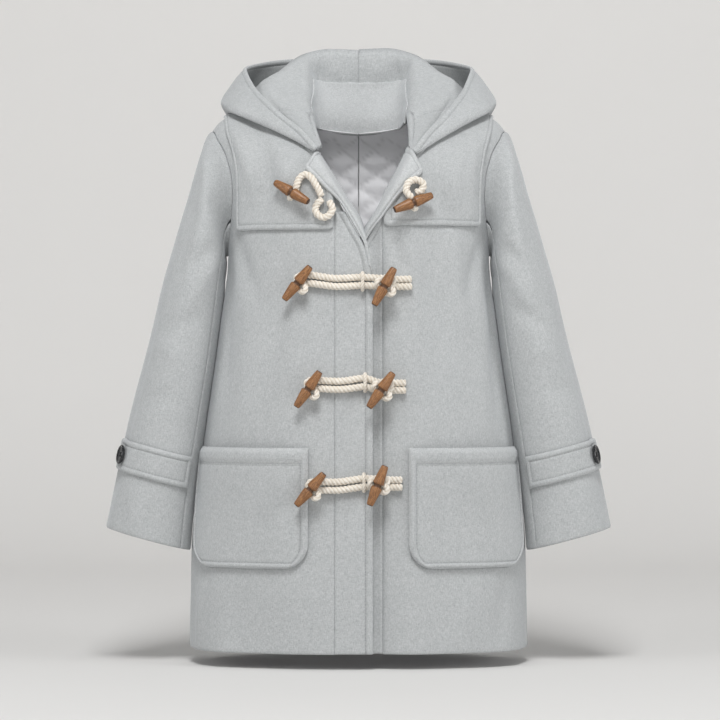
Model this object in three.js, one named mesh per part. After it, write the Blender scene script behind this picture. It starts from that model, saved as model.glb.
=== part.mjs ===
// A child's wool duffle coat, filled out as it is worn, with nobody in it.
// Millimetres, +Z up, the front faces -Y, and +X is the wearer's left.
// The origin is the middle of the neck opening, level with the back neck seam.
import * as THREE from "three";

// Driving sizes
const coatLength = 610; // back neck seam to hem
const chestLine = -80; // height where the upright body turns into the shoulders
const underarm = -150; // height of the bottom of the armhole
const wool = 2.8; // thickness of the brushed wool
const facingThick = 2.0;
const liningThick = 2.0;
const quiltRise = 1.3; // how far the lining's padding stands between its stitch lines
const skinGap = 1.0; // gap under a piece that lies on a panel
const ropeRadius = 3.8;
const squareness = 0.85; // below 1 the body's section is squarer than an ellipse
const bandSeam = 27.3; // front band seam, measured from the centre front
const underlap = 7.5; // how far the left front is set in under the right one

const toRadians = Math.PI / 180;

const colours = {
  wool: 0xb9bfc0,
  facing: 0xc6cbcc,
  lining: 0xb4b4b9,
  rope: 0xe9dfd0,
  wood: 0x8a5a33,
  button: 0x17181a,
};

const group = new THREE.Group();

// Body sections, from the hem (v = 0) to the chest line (v = 1)
const bodySections = [
  { v: 0.0, halfWidth: 200, front: 113, back: 112 },
  { v: 0.22, halfWidth: 198, front: 111, back: 110 },
  { v: 0.45, halfWidth: 184, front: 108, back: 106 },
  { v: 0.7, halfWidth: 165, front: 102, back: 100 },
  { v: 0.87, halfWidth: 154, front: 97, back: 97 },
  { v: 1.0, halfWidth: 154, front: 91, back: 93 },
];

// Shoulder arcs, from the chest line (v = 1) to the shoulder seam (v = 2)
const shoulderReach = [
  { v: 1.0, halfWidth: 154 },
  { v: 1.15, halfWidth: 157 },
  { v: 1.3, halfWidth: 163 },
  { v: 1.6, halfWidth: 174 },
  { v: 2.0, halfWidth: 178 },
];

// Height of the shoulder seam at each distance from the centre
const shoulderRidge = [
  { x: 0, z: 16 },
  { x: 60, z: 16 },
  { x: 110, z: 19 },
  { x: 145, z: 17.5 },
  { x: 158, z: 13.5 },
  { x: 166, z: 7.5 },
  { x: 173, z: -1.5 },
  { x: 178, z: -8 },
];

// Where the armhole cuts the front and the back, as angles round the body from the centre
const armhole = [
  { v: 0.868, front: 90, back: 90 },
  { v: 0.887, front: 84, back: 82 },
  { v: 0.915, front: 79, back: 75 },
  { v: 0.953, front: 75.5, back: 70 },
  { v: 1.0, front: 72, back: 66 },
  { v: 1.3, front: 70, back: 65 },
  { v: 1.6, front: 73, back: 69 },
  { v: 2.0, front: 77, back: 77 },
];

// Free edges of the two fronts: distance short of the centre line, or past it where negative
const frontEdges = [
  { z: -610, right: -16.3, left: -16.3 },
  { z: -200, right: -16.3, left: -16.3 },
  { z: -169, right: -14.3, left: -9 },
  { z: -146, right: -9.0, left: 2 },
  { z: -123, right: 3.0, left: 14 },
  { z: -92, right: 20.0, left: 31 },
  { z: -70, right: 29.0, left: 43 },
  { z: -50, right: 37.5, left: 54 },
  { z: -29, right: 46.0, left: 64 },
];

// Neck curve of the fronts, from the front neck point to the shoulder seam
const frontNeck = [
  { v: 1.356, right: 46, left: 63 },
  { v: 1.5, right: 53, left: 63 },
  { v: 1.69, right: 58, left: 62 },
  { v: 2.0, right: 61, left: 61 },
];

// Neck curve of the back, from the back neck seam's middle to the shoulder seam
const backNeck = [
  { v: 1.627, x: 0 },
  { v: 1.64, x: 20 },
  { v: 1.71, x: 45 },
  { v: 1.79, x: 55 },
  { v: 1.88, x: 59 },
  { v: 2.0, x: 61 },
];

// Soft upright folds of the skirt: angle round the body, depth at the hem, width and top height
const skirtFolds = [
  { angle: 30, depth: -2.5, width: 9, top: 0.5 },
  { angle: 52, depth: 3.0, width: 10, top: 0.62 },
  { angle: 78, depth: -3.0, width: 9, top: 0.55 },
  { angle: 112, depth: 4.0, width: 10, top: 0.6 },
  { angle: 138, depth: -4.5, width: 10, top: 0.7 },
  { angle: 162, depth: 4.0, width: 9, top: 0.55 },
];

// Sleeve sections, by how far down the outer line they start
const sleeveSections = [
  { drop: 1, outerX: 173.6, outerZ: -1, innerX: 154, innerZ: -150, front: 42, back: 46, middleY: 2 },
  { drop: 22, outerX: 184, outerZ: -22, innerX: 155.5, innerZ: -157, front: 52, back: 54, middleY: 1 },
  { drop: 47, outerX: 192, outerZ: -47, innerX: 156, innerZ: -163, front: 58, back: 58, middleY: 0 },
  { drop: 76, outerX: 200, outerZ: -76, innerX: 156.5, innerZ: -169, front: 61, back: 60, middleY: -1 },
  { drop: 106, outerX: 209, outerZ: -106, innerX: 157.5, innerZ: -177, front: 62, back: 60, middleY: -2 },
  { drop: 142, outerX: 219.5, outerZ: -142, innerX: 158, innerZ: -190, front: 61, back: 59, middleY: -3 },
  { drop: 182, outerX: 231, outerZ: -182, innerX: 160, innerZ: -212, front: 60, back: 58, middleY: -5 },
  { drop: 236, outerX: 243.5, outerZ: -236, innerX: 165, innerZ: -256, front: 58, back: 56, middleY: -7 },
  { drop: 343, outerX: 271, outerZ: -343, innerX: 181, innerZ: -366, front: 52, back: 51, middleY: -12 },
  { drop: 405, outerX: 284.5, outerZ: -405, innerX: 190, innerZ: -430, front: 48, back: 47, middleY: -15 },
  { drop: 468, outerX: 297, outerZ: -468, innerX: 196.5, innerZ: -495, front: 44, back: 44, middleY: -18 },
];

// Hood stations round one side of the neck, from the centre back (w = 0) to the front neck point.
// roll = fold over the top, base = fold at the bottom, rim = free edge
const hoodStations = [
  { w: 0.0, roll: [0, 84, 102], base: [0, 124, -85], rim: [0, 154, 100] },
  { w: 0.18, roll: [34, 82, 103], base: [48, 118, -76], rim: [44, 151, 99] },
  { w: 0.34, roll: [66, 72, 95], base: [94, 102, -48], rim: [82, 134, 97] },
  { w: 0.5, roll: [94, 45, 73], base: [138, 68, -6], rim: [122, 92, 88] },
  { w: 0.6, roll: [110, 26, 59], base: [156, 34, 21], rim: [135.5, 54, 79] },
  { w: 0.7, roll: [108, 0, 41], base: [153, -8, 20], rim: [124.5, 8, 55] },
  { w: 0.82, roll: [84, -32, 10], base: [113, -44, 2], rim: [94, -44, 20] },
  { w: 0.92, roll: [62, -57, -9], base: [77, -64, -15], rim: [65, -66, -4] },
  { w: 1.0, roll: [50, -69.5, -21], base: [57, -76, -24.5], rim: [51, -77, -18] },
];

// Fastened rows. Each loop runs from a tip on the wearer's right to a tip on the left, bound down
// at the front edge. Each anchor is sewn down at its end and turns back at its tip
const loops = [
  {
    name: "2", leftX: -69.8, leftZ: -179.7, middleX: -26, middleZ: -183.1, bindX: 4.6, bindZ: -181.8,
    rightX: 39.1, rightZ: -183.1, anchorTip: 25.2, anchorEnd: 60.8, anchorZ: -183.6, rise: 0,
  },
  {
    name: "3", leftX: -58.6, leftZ: -300.4, middleX: -20, middleZ: -301.2, bindX: 7.5, bindZ: -298,
    rightX: 36.6, rightZ: -302.4, anchorTip: 24.2, anchorEnd: 54, anchorZ: -302.7, rise: 0,
  },
  {
    name: "4", leftX: -56.1, leftZ: -416.5, middleX: -23.5, middleZ: -416.5, bindX: 6.3, bindZ: -412.6,
    rightX: 32.2, rightZ: -413, anchorTip: 21.4, anchorEnd: 49.9, anchorZ: -413.8, rise: 4.3,
  },
];

// Toggles: middle, lean from upright towards the wearer's left, and height of the axis
const toggles = [
  { name: "right_1", x: -71.7, z: -79.9, lean: -57.7, lift: 15.6 },
  { name: "left_1", x: 60.2, z: -92.4, lean: 66.5, lift: 15.6 },
  { name: "right_2", x: -67.1, z: -184.8, lean: 32, lift: 13.2 },
  { name: "left_2", x: 28.3, z: -188.9, lean: 27, lift: 16.5 },
  { name: "right_3", x: -56.1, z: -306.2, lean: 33, lift: 13.3 },
  { name: "left_3", x: 24.9, z: -307.3, lean: 34, lift: 16.5 },
  { name: "right_4", x: -53.3, z: -420.4, lean: 39, lift: 17.2 },
  { name: "left_4", x: 21.1, z: -415.9, lean: 21, lift: 15.9 },
];

const toggleLength = 49;
const toggleRadius = 5.6;
const toggleNeck = 3.3; // radius in the groove
const ropeLift = ropeRadius + 0.7; // height of a rope's middle over the panel it lies on
const loopHalfGap = 4.7; // half the distance between the two strands of a loop

// Reads a column of a table at a place, as a smooth curve through its rows
function read(table, key, column, at) {
  const last = table.length - 1;
  let i = 0;
  while (i < last - 1 && at > table[i + 1][key]) i += 1;
  const slope = (a, b) => (table[b][column] - table[a][column]) / (table[b][key] - table[a][key]);
  const step = table[i + 1][key] - table[i][key];
  const t = Math.min(Math.max((at - table[i][key]) / step, 0), 1);
  const middle = slope(i, i + 1);
  const before = i > 0 ? bounded(slope(i - 1, i), middle) : middle;
  const after = i < last - 1 ? bounded(slope(i + 1, i + 2), middle) : middle;
  const t2 = t * t;
  const t3 = t2 * t;
  const start = table[i][column] * (2 * t3 - 3 * t2 + 1) + step * before * (t3 - 2 * t2 + t);
  return start + table[i + 1][column] * (3 * t2 - 2 * t3) + step * after * (t3 - t2);
}

// A slope between two stretches that doesn't overshoot either of them
function bounded(a, b) {
  return a * b <= 0 ? 0 : (2 * a * b) / (a + b);
}

function smooth(from, to, at) {
  const t = Math.min(Math.max((at - from) / (to - from), 0), 1);
  return t * t * (3 - 2 * t);
}

function mix(a, b, t) {
  return a + (b - a) * t;
}

// The torso

function heightOf(v) {
  return mix(-coatLength, chestLine, v);
}

function rowOf(z) {
  return (z + coatLength) / (chestLine + coatLength);
}

function halfWidth(v) {
  return v <= 1 ? read(bodySections, "v", "halfWidth", v) : read(shoulderReach, "v", "halfWidth", v);
}

// A point of the wool's outer face: angle 0 is the centre front and 180 the centre back
function torso(side, angle, v) {
  const inFront = Math.abs(angle) <= 90;
  const turn = angle * toRadians;
  const across = Math.sign(angle) * Math.abs(Math.sin(turn)) ** squareness;
  const along = Math.abs(Math.cos(turn)) ** squareness;
  const x = halfWidth(v) * across;
  const base = Math.min(v, 1);
  const depth = inFront ? -read(bodySections, "v", "front", base) : read(bodySections, "v", "back", base);
  const point = new THREE.Vector3(side * x, depth * along, heightOf(base));
  if (v > 1) {
    const arc = (v - 1) * 90 * toRadians;
    const ridgeY = 3;
    const fall = Math.max(Math.cos(arc), 0) ** (inFront ? 1.6 : 0.75);
    point.y = ridgeY + (point.y - ridgeY) * fall;
    point.z = chestLine + (read(shoulderRidge, "x", "z", Math.abs(x)) - chestLine) * Math.sin(arc);
  }
  const out = foldDepth(Math.abs(angle), v);
  point.x += side * across * out;
  point.y += Math.sign(depth) * along * out;
  return point;
}

function foldDepth(angle, v) {
  let total = 0;
  for (const fold of skirtFolds) {
    const near = Math.exp(-(((angle - fold.angle) / fold.width) ** 2));
    total += fold.depth * near * smooth(fold.top, 0, v);
  }
  return total;
}

// The angle at which a front or back surface is this far from the centre line
function angleOf(x, v) {
  const part = Math.min(Math.abs(x) / halfWidth(v), 1);
  return (Math.sign(x) * Math.asin(part ** (1 / squareness))) / toRadians;
}

// A point of the front at a place seen from the front, lifted off the outer face
function onFront(x, z, lift) {
  const at = (px, pz) => {
    let v = rowOf(pz);
    if (pz > chestLine) {
      const rise = (pz - chestLine) / (read(shoulderRidge, "x", "z", Math.abs(px)) - chestLine);
      v = 1 + Math.asin(Math.min(rise, 1)) / toRadians / 90;
    }
    return torso(1, angleOf(px, v), v);
  };
  const middle = at(x, z);
  const acrossway = at(x + 1, z).sub(at(x - 1, z));
  const upway = at(x, z + 1).sub(at(x, z - 1));
  return middle.addScaledVector(acrossway.cross(upway).normalize(), lift);
}

// Walls

// Points and outward-or-inward normals of a surface, sampled at the places given.
// The normals come from the surface itself, so that two panels meet squarely at a seam
function sample(rowPlaces, columnPlaces, pointAt) {
  const reach = (places) => Math.abs(places[places.length - 1] - places[0]) * 0.002;
  const rowStep = reach(rowPlaces);
  const columnStep = reach(columnPlaces);
  const normalAt = (r, c) => {
    const across = pointAt(r, c + columnStep).sub(pointAt(r, c - columnStep));
    const up = pointAt(r + rowStep, c).sub(pointAt(r - rowStep, c));
    return across.cross(up).normalize();
  };
  const points = rowPlaces.map((r) => columnPlaces.map((c) => pointAt(r, c)));
  const normals = rowPlaces.map((r) => columnPlaces.map((c) => normalAt(r, c)));
  return { points, normals };
}

// A wall between two offsets of a grid. facing is 1 or -1, so that out is away from the wearer.
// rise adds to the inner face at each point, for quilting
function wall({ points: grid, normals }, out, inn, facing, rise) {
  const rows = grid.length;
  const columns = grid[0].length;
  const positions = [];
  const place = (level, extra) => {
    grid.forEach((row, r) =>
      row.forEach((point, c) => {
        const lift = level - (extra ? extra(r, c) : 0);
        const p = point.clone().addScaledVector(normals[r][c], facing * lift);
        positions.push(p.x, p.y, p.z);
      }),
    );
  };
  place(out, null);
  place(inn, rise);
  const faces = [];
  const at = (layer, r, c) => layer * rows * columns + r * columns + c;
  const quad = (a, b, c, d, otherWay) => {
    if (otherWay) faces.push(a, b, d, b, c, d);
    else faces.push(a, b, c, a, c, d);
  };
  for (let r = 0; r < rows - 1; r += 1)
    for (let c = 0; c < columns - 1; c += 1) {
      const other = (r + c) % 2 === 1;
      quad(at(0, r, c), at(0, r, c + 1), at(0, r + 1, c + 1), at(0, r + 1, c), other);
      quad(at(1, r, c), at(1, r + 1, c), at(1, r + 1, c + 1), at(1, r, c + 1), other);
    }
  for (let c = 0; c < columns - 1; c += 1) {
    quad(at(1, 0, c), at(1, 0, c + 1), at(0, 0, c + 1), at(0, 0, c), false);
    quad(at(0, rows - 1, c), at(0, rows - 1, c + 1), at(1, rows - 1, c + 1), at(1, rows - 1, c), false);
  }
  for (let r = 0; r < rows - 1; r += 1) {
    quad(at(0, r, 0), at(0, r + 1, 0), at(1, r + 1, 0), at(1, r, 0), false);
    const end = columns - 1;
    quad(at(1, r, end), at(1, r + 1, end), at(0, r + 1, end), at(0, r, end), false);
  }
  return solid(positions, faces);
}

// A closed geometry that faces out, whichever way its grid was listed
function solid(positions, faces) {
  const point = (i) => new THREE.Vector3(positions[3 * i], positions[3 * i + 1], positions[3 * i + 2]);
  let volume = 0;
  for (let i = 0; i < faces.length; i += 3)
    volume += point(faces[i]).dot(point(faces[i + 1]).cross(point(faces[i + 2])));
  if (volume < 0)
    for (let i = 0; i < faces.length; i += 3) [faces[i + 1], faces[i + 2]] = [faces[i + 2], faces[i + 1]];
  const geometry = new THREE.BufferGeometry();
  geometry.setAttribute("position", new THREE.Float32BufferAttribute(positions, 3));
  geometry.setIndex(faces);
  geometry.computeVertexNormals();
  return geometry;
}

function add(name, geometry, colour, roughness) {
  const material = new THREE.MeshStandardMaterial({ color: colour, roughness, metalness: 0 });
  const mesh = new THREE.Mesh(geometry, material);
  mesh.name = name;
  group.add(mesh);
  return mesh;
}

function steps(count, from = 0, to = 1) {
  return Array.from({ length: count + 1 }, (_, i) => mix(from, to, i / count));
}

const sides = [
  { name: "right", sign: -1 },
  { name: "left", sign: 1 },
];

// Rows of the body panels: hem, skirt, waist, chest, the armhole's curve and the shoulder arc
const skirtRows = steps(12, 0, 0.868);
const armholeRows = [0.887, 0.915, 0.953, 1.0, 1.12, 1.24];
const frontRows = [...skirtRows, ...armholeRows, 1.37, 1.47, 1.61, 1.76, 1.9, 1.985];
const backRows = [...skirtRows, ...armholeRows, 1.37, 1.5, 1.628, 1.645, 1.68, 1.725, 1.81, 1.9, 1.985];

// How far in the left front is set near its edge, so that the right front laps over it
function setIn(side, x, z) {
  return side.sign > 0 ? -underlap * smooth(62, 26, x) * smooth(-100, -140, z) : 0;
}

function frontInnerEdge(side, v) {
  if (v <= 1) return Math.max(bandSeam, read(frontEdges, "z", side.name, heightOf(v)) + 1);
  if (v >= frontNeck[0].v) return read(frontNeck, "v", side.name, v);
  const roll = read(frontEdges, "z", side.name, chestLine + (v - 1) * 143);
  return Math.max(bandSeam, roll);
}

// A point of a front panel: u runs from its inner edge to the side seam or the armhole
function frontPoint(side, u, v, clip) {
  const inner = angleOf(frontInnerEdge(side, v), v);
  const outer = v < armhole[0].v ? 90 - clip : read(armhole, "v", "front", v) - clip;
  const angle = mix(inner, outer, u);
  const point = torso(side.sign, angle, v);
  point.y -= setIn(side, Math.abs(point.x), point.z);
  return point;
}

function backPoint(side, u, v, clip) {
  const inner = v > backNeck[0].v ? angleOf(read(backNeck, "v", "x", v), v) : 0;
  const outer = v < armhole[0].v ? 90 - clip : read(armhole, "v", "back", v) - clip;
  const angle = 180 - mix(Math.max(inner, clip), outer, u);
  return torso(side.sign, angle, v);
}

function makeBody(side) {
  const clip = 0.12; // degrees left off at a seam
  const front = sample(frontRows, steps(8), (v, u) => frontPoint(side, u, v, clip));
  add("front_" + side.name, wall(front, 0, -wool, side.sign), colours.wool, 0.95);
  const back = sample(backRows, steps(7), (v, u) => backPoint(side, u, v, clip));
  add("back_" + side.name, wall(back, 0, -wool, -side.sign), colours.wool, 0.95);
}

// The band down each front edge, up to where the front turns out
function makeBand(side) {
  const rows = [...steps(10, 0.001, 0.75), 0.79, 0.83, 0.87, 0.9, 0.93, 0.96];
  const grid = sample(rows, steps(3), (v, u) => {
    const edge = read(frontEdges, "z", side.name, heightOf(v));
    const x = mix(bandSeam - 0.5, Math.min(edge, bandSeam - 3.5), u);
    const point = torso(side.sign, angleOf(x, v), v);
    point.y -= setIn(side, x, point.z);
    return point;
  });
  add("front_band_" + side.name, wall(grid, 0.4, -wool, -side.sign), colours.wool, 0.95);
}

// The facing behind each front edge, from the hem to the neck
function makeFacing(side) {
  const rows = [...steps(12, 0.012, 0.75), 0.8, 0.85, 0.9, 0.95, 1.0, 1.1, 1.2, 1.3, 1.345];
  const width = 44;
  const grid = sample(rows, steps(3), (v, u) => {
    const z = v <= 1 ? heightOf(v) : chestLine + (v - 1) * 143;
    const edge = read(frontEdges, "z", side.name, z) + 1.2;
    const x = mix(edge, edge + mix(width, 24, smooth(0.9, 1.35, v)), u);
    const point = torso(side.sign, angleOf(x, v), v);
    point.y -= setIn(side, x, point.z);
    return point;
  });
  const top = -wool - 1.2;
  add("facing_" + side.name, wall(grid, top, top - facingThick, side.sign), colours.facing, 0.95);
}

// The turned-out top corner of each front
function makeLapel(side) {
  const right = side.sign < 0;
  const tip = right ? [22, -92] : [29, -96];
  const neck = right ? [45, -31] : [62, -35];
  const corner = right ? [62, -53] : [73, -55];
  const grid = sample(steps(6), [0, 0.1, 0.3, 0.6, 1], (r, c) => {
    const rollX = mix(tip[0], neck[0], r);
    const rollZ = mix(tip[1], neck[1], r);
    const edgeX = mix(tip[0] + 7, corner[0], r);
    const edgeZ = mix(tip[1] - 1, corner[1], r) - 3 * Math.sin(Math.PI * r);
    const turn = smooth(0, 0.3, c);
    const x = mix(rollX, edgeX, c) - 3.5 * (1 - turn);
    const z = mix(rollZ, edgeZ, c);
    const point = onFront(x, z, mix(1.0, 7.5, turn) + 2.5 * c * Math.sin(Math.PI * Math.min(r, 0.6)));
    point.x *= side.sign;
    return point;
  });
  add("lapel_" + side.name, wall(grid, wool, 0.2, side.sign), colours.facing, 0.95);
}

// The quilted lining: its stitch lines run through every second point of the grid
function makeLining(side) {
  const clip = 0.9;
  const rise = (last) => (r, c) => (r > 0 && c > 0 && c < last && (r + c) % 2 === 1 ? quiltRise : 0);
  const top = -wool - 1.7;
  const hindRows = [...steps(13, 0.045, 0.86), 0.895, 0.93, 0.97, 1.02, 1.12, 1.24, 1.36, 1.5, 1.62];
  const back = sample(hindRows, steps(6), (v, u) => backPoint(side, u, v, clip));
  const hindWall = wall(back, top, top - liningThick, -side.sign, rise(6));
  add("lining_back_" + side.name, hindWall, colours.lining, 0.5);
  const foreRows = [...steps(10, 0.045, 0.86), 0.895, 0.93, 0.97, 1.02, 1.12, 1.24, 1.36, 1.5, 1.65];
  const front = sample(foreRows, steps(5), (v, u) => {
    const z = v <= 1 ? heightOf(v) : chestLine + (v - 1) * 143;
    const edge = v > 1.345 ? frontInnerEdge(side, v) + 3 : read(frontEdges, "z", side.name, z) + 2;
    const inner = angleOf(Math.max(edge + mix(46.5, 27, smooth(0.9, 1.35, v)), 31), v);
    const outer = v < armhole[0].v ? 90 - clip : read(armhole, "v", "front", v) - clip;
    const point = torso(side.sign, mix(inner, outer, u), v);
    point.y -= setIn(side, Math.abs(point.x), point.z);
    return point;
  });
  const foreWall = wall(front, top, top - liningThick, side.sign, rise(5));
  add("lining_front_" + side.name, foreWall, colours.lining, 0.5);
}

// The yoke flap over each shoulder
function makeYoke(side) {
  const bottom = rowOf(side.sign < 0 ? -122 : -117);
  const shoulderRows = [1.0, 1.12, 1.24, 1.36, 1.5, 1.63, 1.77, 1.89, 1.97];
  const rows = [bottom, mix(bottom, 1, 0.2), mix(bottom, 1, 0.6), ...shoulderRows];
  const grid = sample(rows, [0, 0.12, 0.26, 0.4, 0.55, 0.7, 0.85, 0.95, 1], (v, u) => {
    const inner = angleOf(frontInnerEdge(side, v) + mix(1.6, 7, smooth(1.25, 1.38, v)), v);
    const cornerCut = 2.6 * smooth(mix(bottom, 1, 0.2), bottom, v);
    const outer = mix(64, 61, smooth(0.95, 1.4, v)) - cornerCut;
    const point = torso(side.sign, mix(inner, outer, u), v);
    point.y -= setIn(side, Math.abs(point.x), point.z);
    return point;
  });
  add("yoke_" + side.name, wall(grid, skinGap + wool, skinGap, side.sign), colours.wool, 0.95);
}

// A patch pocket: rounded lower corners and a mouth that stands a little open
function makePocket(side) {
  const top = -373;
  const bottom = -512;
  const radius = 29;
  const arc = [0, 0.15, 0.34, 0.56, 0.78].map((t) => bottom + radius * (1 - Math.cos(t * 90 * toRadians)));
  const rows = [...arc, ...steps(5, bottom + radius, top)];
  const grid = sample(rows, [0, 0.09, 0.25, 0.42, 0.58, 0.75, 0.91, 1], (z, u) => {
    const v = rowOf(z);
    const over = Math.max(bottom + radius - z, 0);
    const cut = radius - Math.sqrt(Math.max(radius * radius - over * over, 0));
    const inner = angleOf(57.5 + cut, v);
    const outer = mix(76, 72.5, smooth(top, bottom, z)) - (cut * 90) / 235;
    const mouth = smooth(bottom + 40, top, z) * Math.max(Math.sin(Math.PI * u), 0) ** 0.8;
    const angle = mix(inner, outer, u);
    const point = torso(side.sign, angle, v);
    const out = skinGap + 0.7 + 8.5 * mouth;
    const turn = angle * toRadians;
    point.x += side.sign * Math.sin(turn) * out;
    point.y -= Math.cos(turn) * out;
    return point;
  });
  add("pocket_" + side.name, wall(grid, wool, 0, side.sign), colours.wool, 0.95);
}

// Sleeves

// A point of the armhole's edge at an angle round it: 0 is the shoulder and 180 the underarm
function armholePoint(side, angle) {
  const inFront = angle <= 180;
  const target = inFront ? angle : 360 - angle;
  const middleZ = -75;
  let low = armhole[0].v;
  let high = 1.985;
  const edge = (v) => (inFront ? frontPoint(side, 1, v, 0) : backPoint(side, 1, v, 0));
  for (let i = 0; i < 30; i += 1) {
    const v = (low + high) / 2;
    const p = edge(v);
    const seen = Math.atan2(Math.abs(p.y - 2), p.z - middleZ) / toRadians;
    if (seen > target) low = v;
    else high = v;
  }
  return edge((low + high) / 2);
}

// A point of a sleeve: angle 0 is the outer line, 90 the front and 180 the inner line
function sleevePoint(side, angle, drop) {
  const turn = angle * toRadians;
  const at = (column) => read(sleeveSections, "drop", column, drop);
  const round = 0.93;
  const outward = Math.sign(Math.cos(turn)) * Math.abs(Math.cos(turn)) ** round;
  const forward = Math.sign(Math.sin(turn)) * Math.abs(Math.sin(turn)) ** round;
  let x = (at("outerX") + at("innerX")) / 2 + ((at("outerX") - at("innerX")) / 2) * outward;
  const z = (at("outerZ") + at("innerZ")) / 2 + ((at("outerZ") - at("innerZ")) / 2) * outward;
  const y = at("middleY") - forward * (forward > 0 ? at("front") : at("back"));
  x += sleeveFold(angle, drop);
  if (z < underarm + 2) {
    const v = rowOf(z);
    const depth = read(bodySections, "v", y < 0 ? "front" : "back", v) + 4;
    const part = Math.max(1 - (Math.abs(y) / depth) ** (2 / squareness), 0);
    const clear = halfWidth(v) * part ** (squareness / 2) + 2 + 4 * smooth(0.6, 0, v);
    x = Math.max(x, clear);
  }
  const point = new THREE.Vector3(side.sign * x, y, z);
  const head = 1 - smooth(1, 30, drop);
  if (head > 0) {
    const edge = armholePoint(side, (angle + 720) % 360);
    edge.x += side.sign * (0.8 + 0.35 * Math.max(drop - 1, 0));
    point.lerp(edge, head);
  }
  return point;
}

// Soft folds of the sleeve: angle round it, how far down, depth, and how wide and long each is
const sleeveFolds = [
  { angle: 60, drop: 150, depth: -3.5, width: 16, length: 90 },
  { angle: 100, drop: 250, depth: 3.0, width: 16, length: 110 },
  { angle: 25, drop: 300, depth: -3.0, width: 14, length: 90 },
  { angle: -60, drop: 200, depth: -3.5, width: 18, length: 100 },
  { angle: -100, drop: 330, depth: 3.0, width: 16, length: 90 },
];

function sleeveFold(angle, drop) {
  let total = 0;
  for (const fold of sleeveFolds) {
    const around = ((angle - fold.angle + 540) % 360) - 180;
    const near = Math.exp(-((around / fold.width) ** 2) - ((drop - fold.drop) / fold.length) ** 2);
    total += fold.depth * near;
  }
  return total;
}

const sleeveDrops = [1, 16, 40, 70, 104, 142, 190, 240, 290, 343, 405, 468];
const foreSeam = 140; // seam that shows on the front of the sleeve
const hindSeam = 230;

function makeSleeve(side) {
  const panel = (from, to, count) =>
    sample(sleeveDrops, steps(count, from + 0.3, to - 0.3), (drop, angle) => {
      const narrowed = mix(angle, (from + to) / 2, 0.018 * (1 - smooth(1, 30, drop)));
      return sleevePoint(side, narrowed, drop);
    });
  const upper = panel(hindSeam - 360, foreSeam, 12);
  const under = panel(foreSeam, hindSeam, 5);
  shareNormals(upper, 12, under, 0);
  shareNormals(upper, 0, under, 5);
  add("sleeve_upper_" + side.name, wall(upper, 0, -wool, side.sign), colours.wool, 0.95);
  add("sleeve_under_" + side.name, wall(under, 0, -wool, side.sign), colours.wool, 0.95);
}

// Gives two neighbouring edges the same normals, so that their walls keep their gap
function shareNormals(one, oneColumn, other, otherColumn) {
  one.normals.forEach((row, r) => {
    const both = row[oneColumn].clone().add(other.normals[r][otherColumn]).normalize();
    row[oneColumn].copy(both);
    other.normals[r][otherColumn].copy(both);
  });
}

// The buttoned tab across each cuff, sewn into the front seam of the sleeve
const tabTop = 364;
const tabBottom = 400;
const tabEnd = 6;
const buttonAngle = 32;

function makeCuffTab(side) {
  const grid = sample(steps(3, tabTop, tabBottom), steps(9, tabEnd, foreSeam - 3), (drop, angle) =>
    sleevePoint(side, angle, drop),
  );
  add("cuff_tab_" + side.name, wall(grid, skinGap + wool, skinGap, side.sign), colours.wool, 0.95);
}

function makeCuffButton(side) {
  const drop = (tabTop + tabBottom) / 2;
  const middle = sleevePoint(side, buttonAngle, drop);
  const along = sleevePoint(side, buttonAngle, drop + 4).sub(sleevePoint(side, buttonAngle, drop - 4));
  const around = sleevePoint(side, buttonAngle + 4, drop).sub(sleevePoint(side, buttonAngle - 4, drop));
  const out = along.cross(around).normalize().multiplyScalar(-side.sign);
  const profile = [
    [0, 0],
    [9.2, 0],
    [11.4, 1.8],
    [11.4, 3.2],
    [10.2, 4.2],
    [8.2, 3.4],
    [0, 2.9],
  ].map(([r, h]) => new THREE.Vector2(r, h));
  const button = new THREE.LatheGeometry(profile, 14);
  const mesh = add("cuff_button_" + side.name, button, colours.button, 0.3);
  mesh.quaternion.setFromUnitVectors(new THREE.Vector3(0, 1, 0), out);
  mesh.position.copy(middle.addScaledVector(out, skinGap + wool + 0.9));
}

// Hood

// The neckline: which row of the back's or the front's neck curve each station starts from
const neckWays = [
  { w: 0, v: 1.627 },
  { w: 0.18, v: 1.645 },
  { w: 0.34, v: 1.725 },
  { w: 0.44, v: 1.81 },
  { w: 0.52, v: 1.98 },
  { w: 0.6, v: 1.9 },
  { w: 0.7, v: 1.76 },
  { w: 0.82, v: 1.61 },
  { w: 0.92, v: 1.47 },
  { w: 1, v: 1.37 },
];

// A place on the neckline, set just inside the panels' edge, where the hood is sewn on
function neckPoint(side, w) {
  const turnAt = 0.52;
  const v = read(neckWays, "w", "v", Math.max(w, 0));
  const edge = w < turnAt ? backPoint(side, 0, v, 0) : frontPoint(side, 0, v, 0);
  edge.x *= side.sign;
  const inward = new THREE.Vector3(-edge.x, 4 - edge.y, 0).normalize();
  edge.addScaledVector(inward, wool + 0.6);
  edge.z += 0.5;
  return edge;
}

// Named places of one station, read between the stations and widened on the wearer's left
function hoodStation(side, w) {
  const read3 = (column) => {
    const table = hoodStations.map((s) => ({ w: s.w, x: s[column][0], y: s[column][1], z: s[column][2] }));
    const [x, y, z] = ["x", "y", "z"].map((axis) => read(table, "w", axis, w));
    const point = new THREE.Vector3(x, y, z);
    if (side.sign > 0) point.x += 15 * smooth(0.62, 1, w);
    if (side.sign > 0) point.z -= 3 * smooth(0.62, 1, w);
    return point;
  };
  return { neck: neckPoint(side, w), roll: read3("roll"), base: read3("base"), rim: read3("rim") };
}

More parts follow.
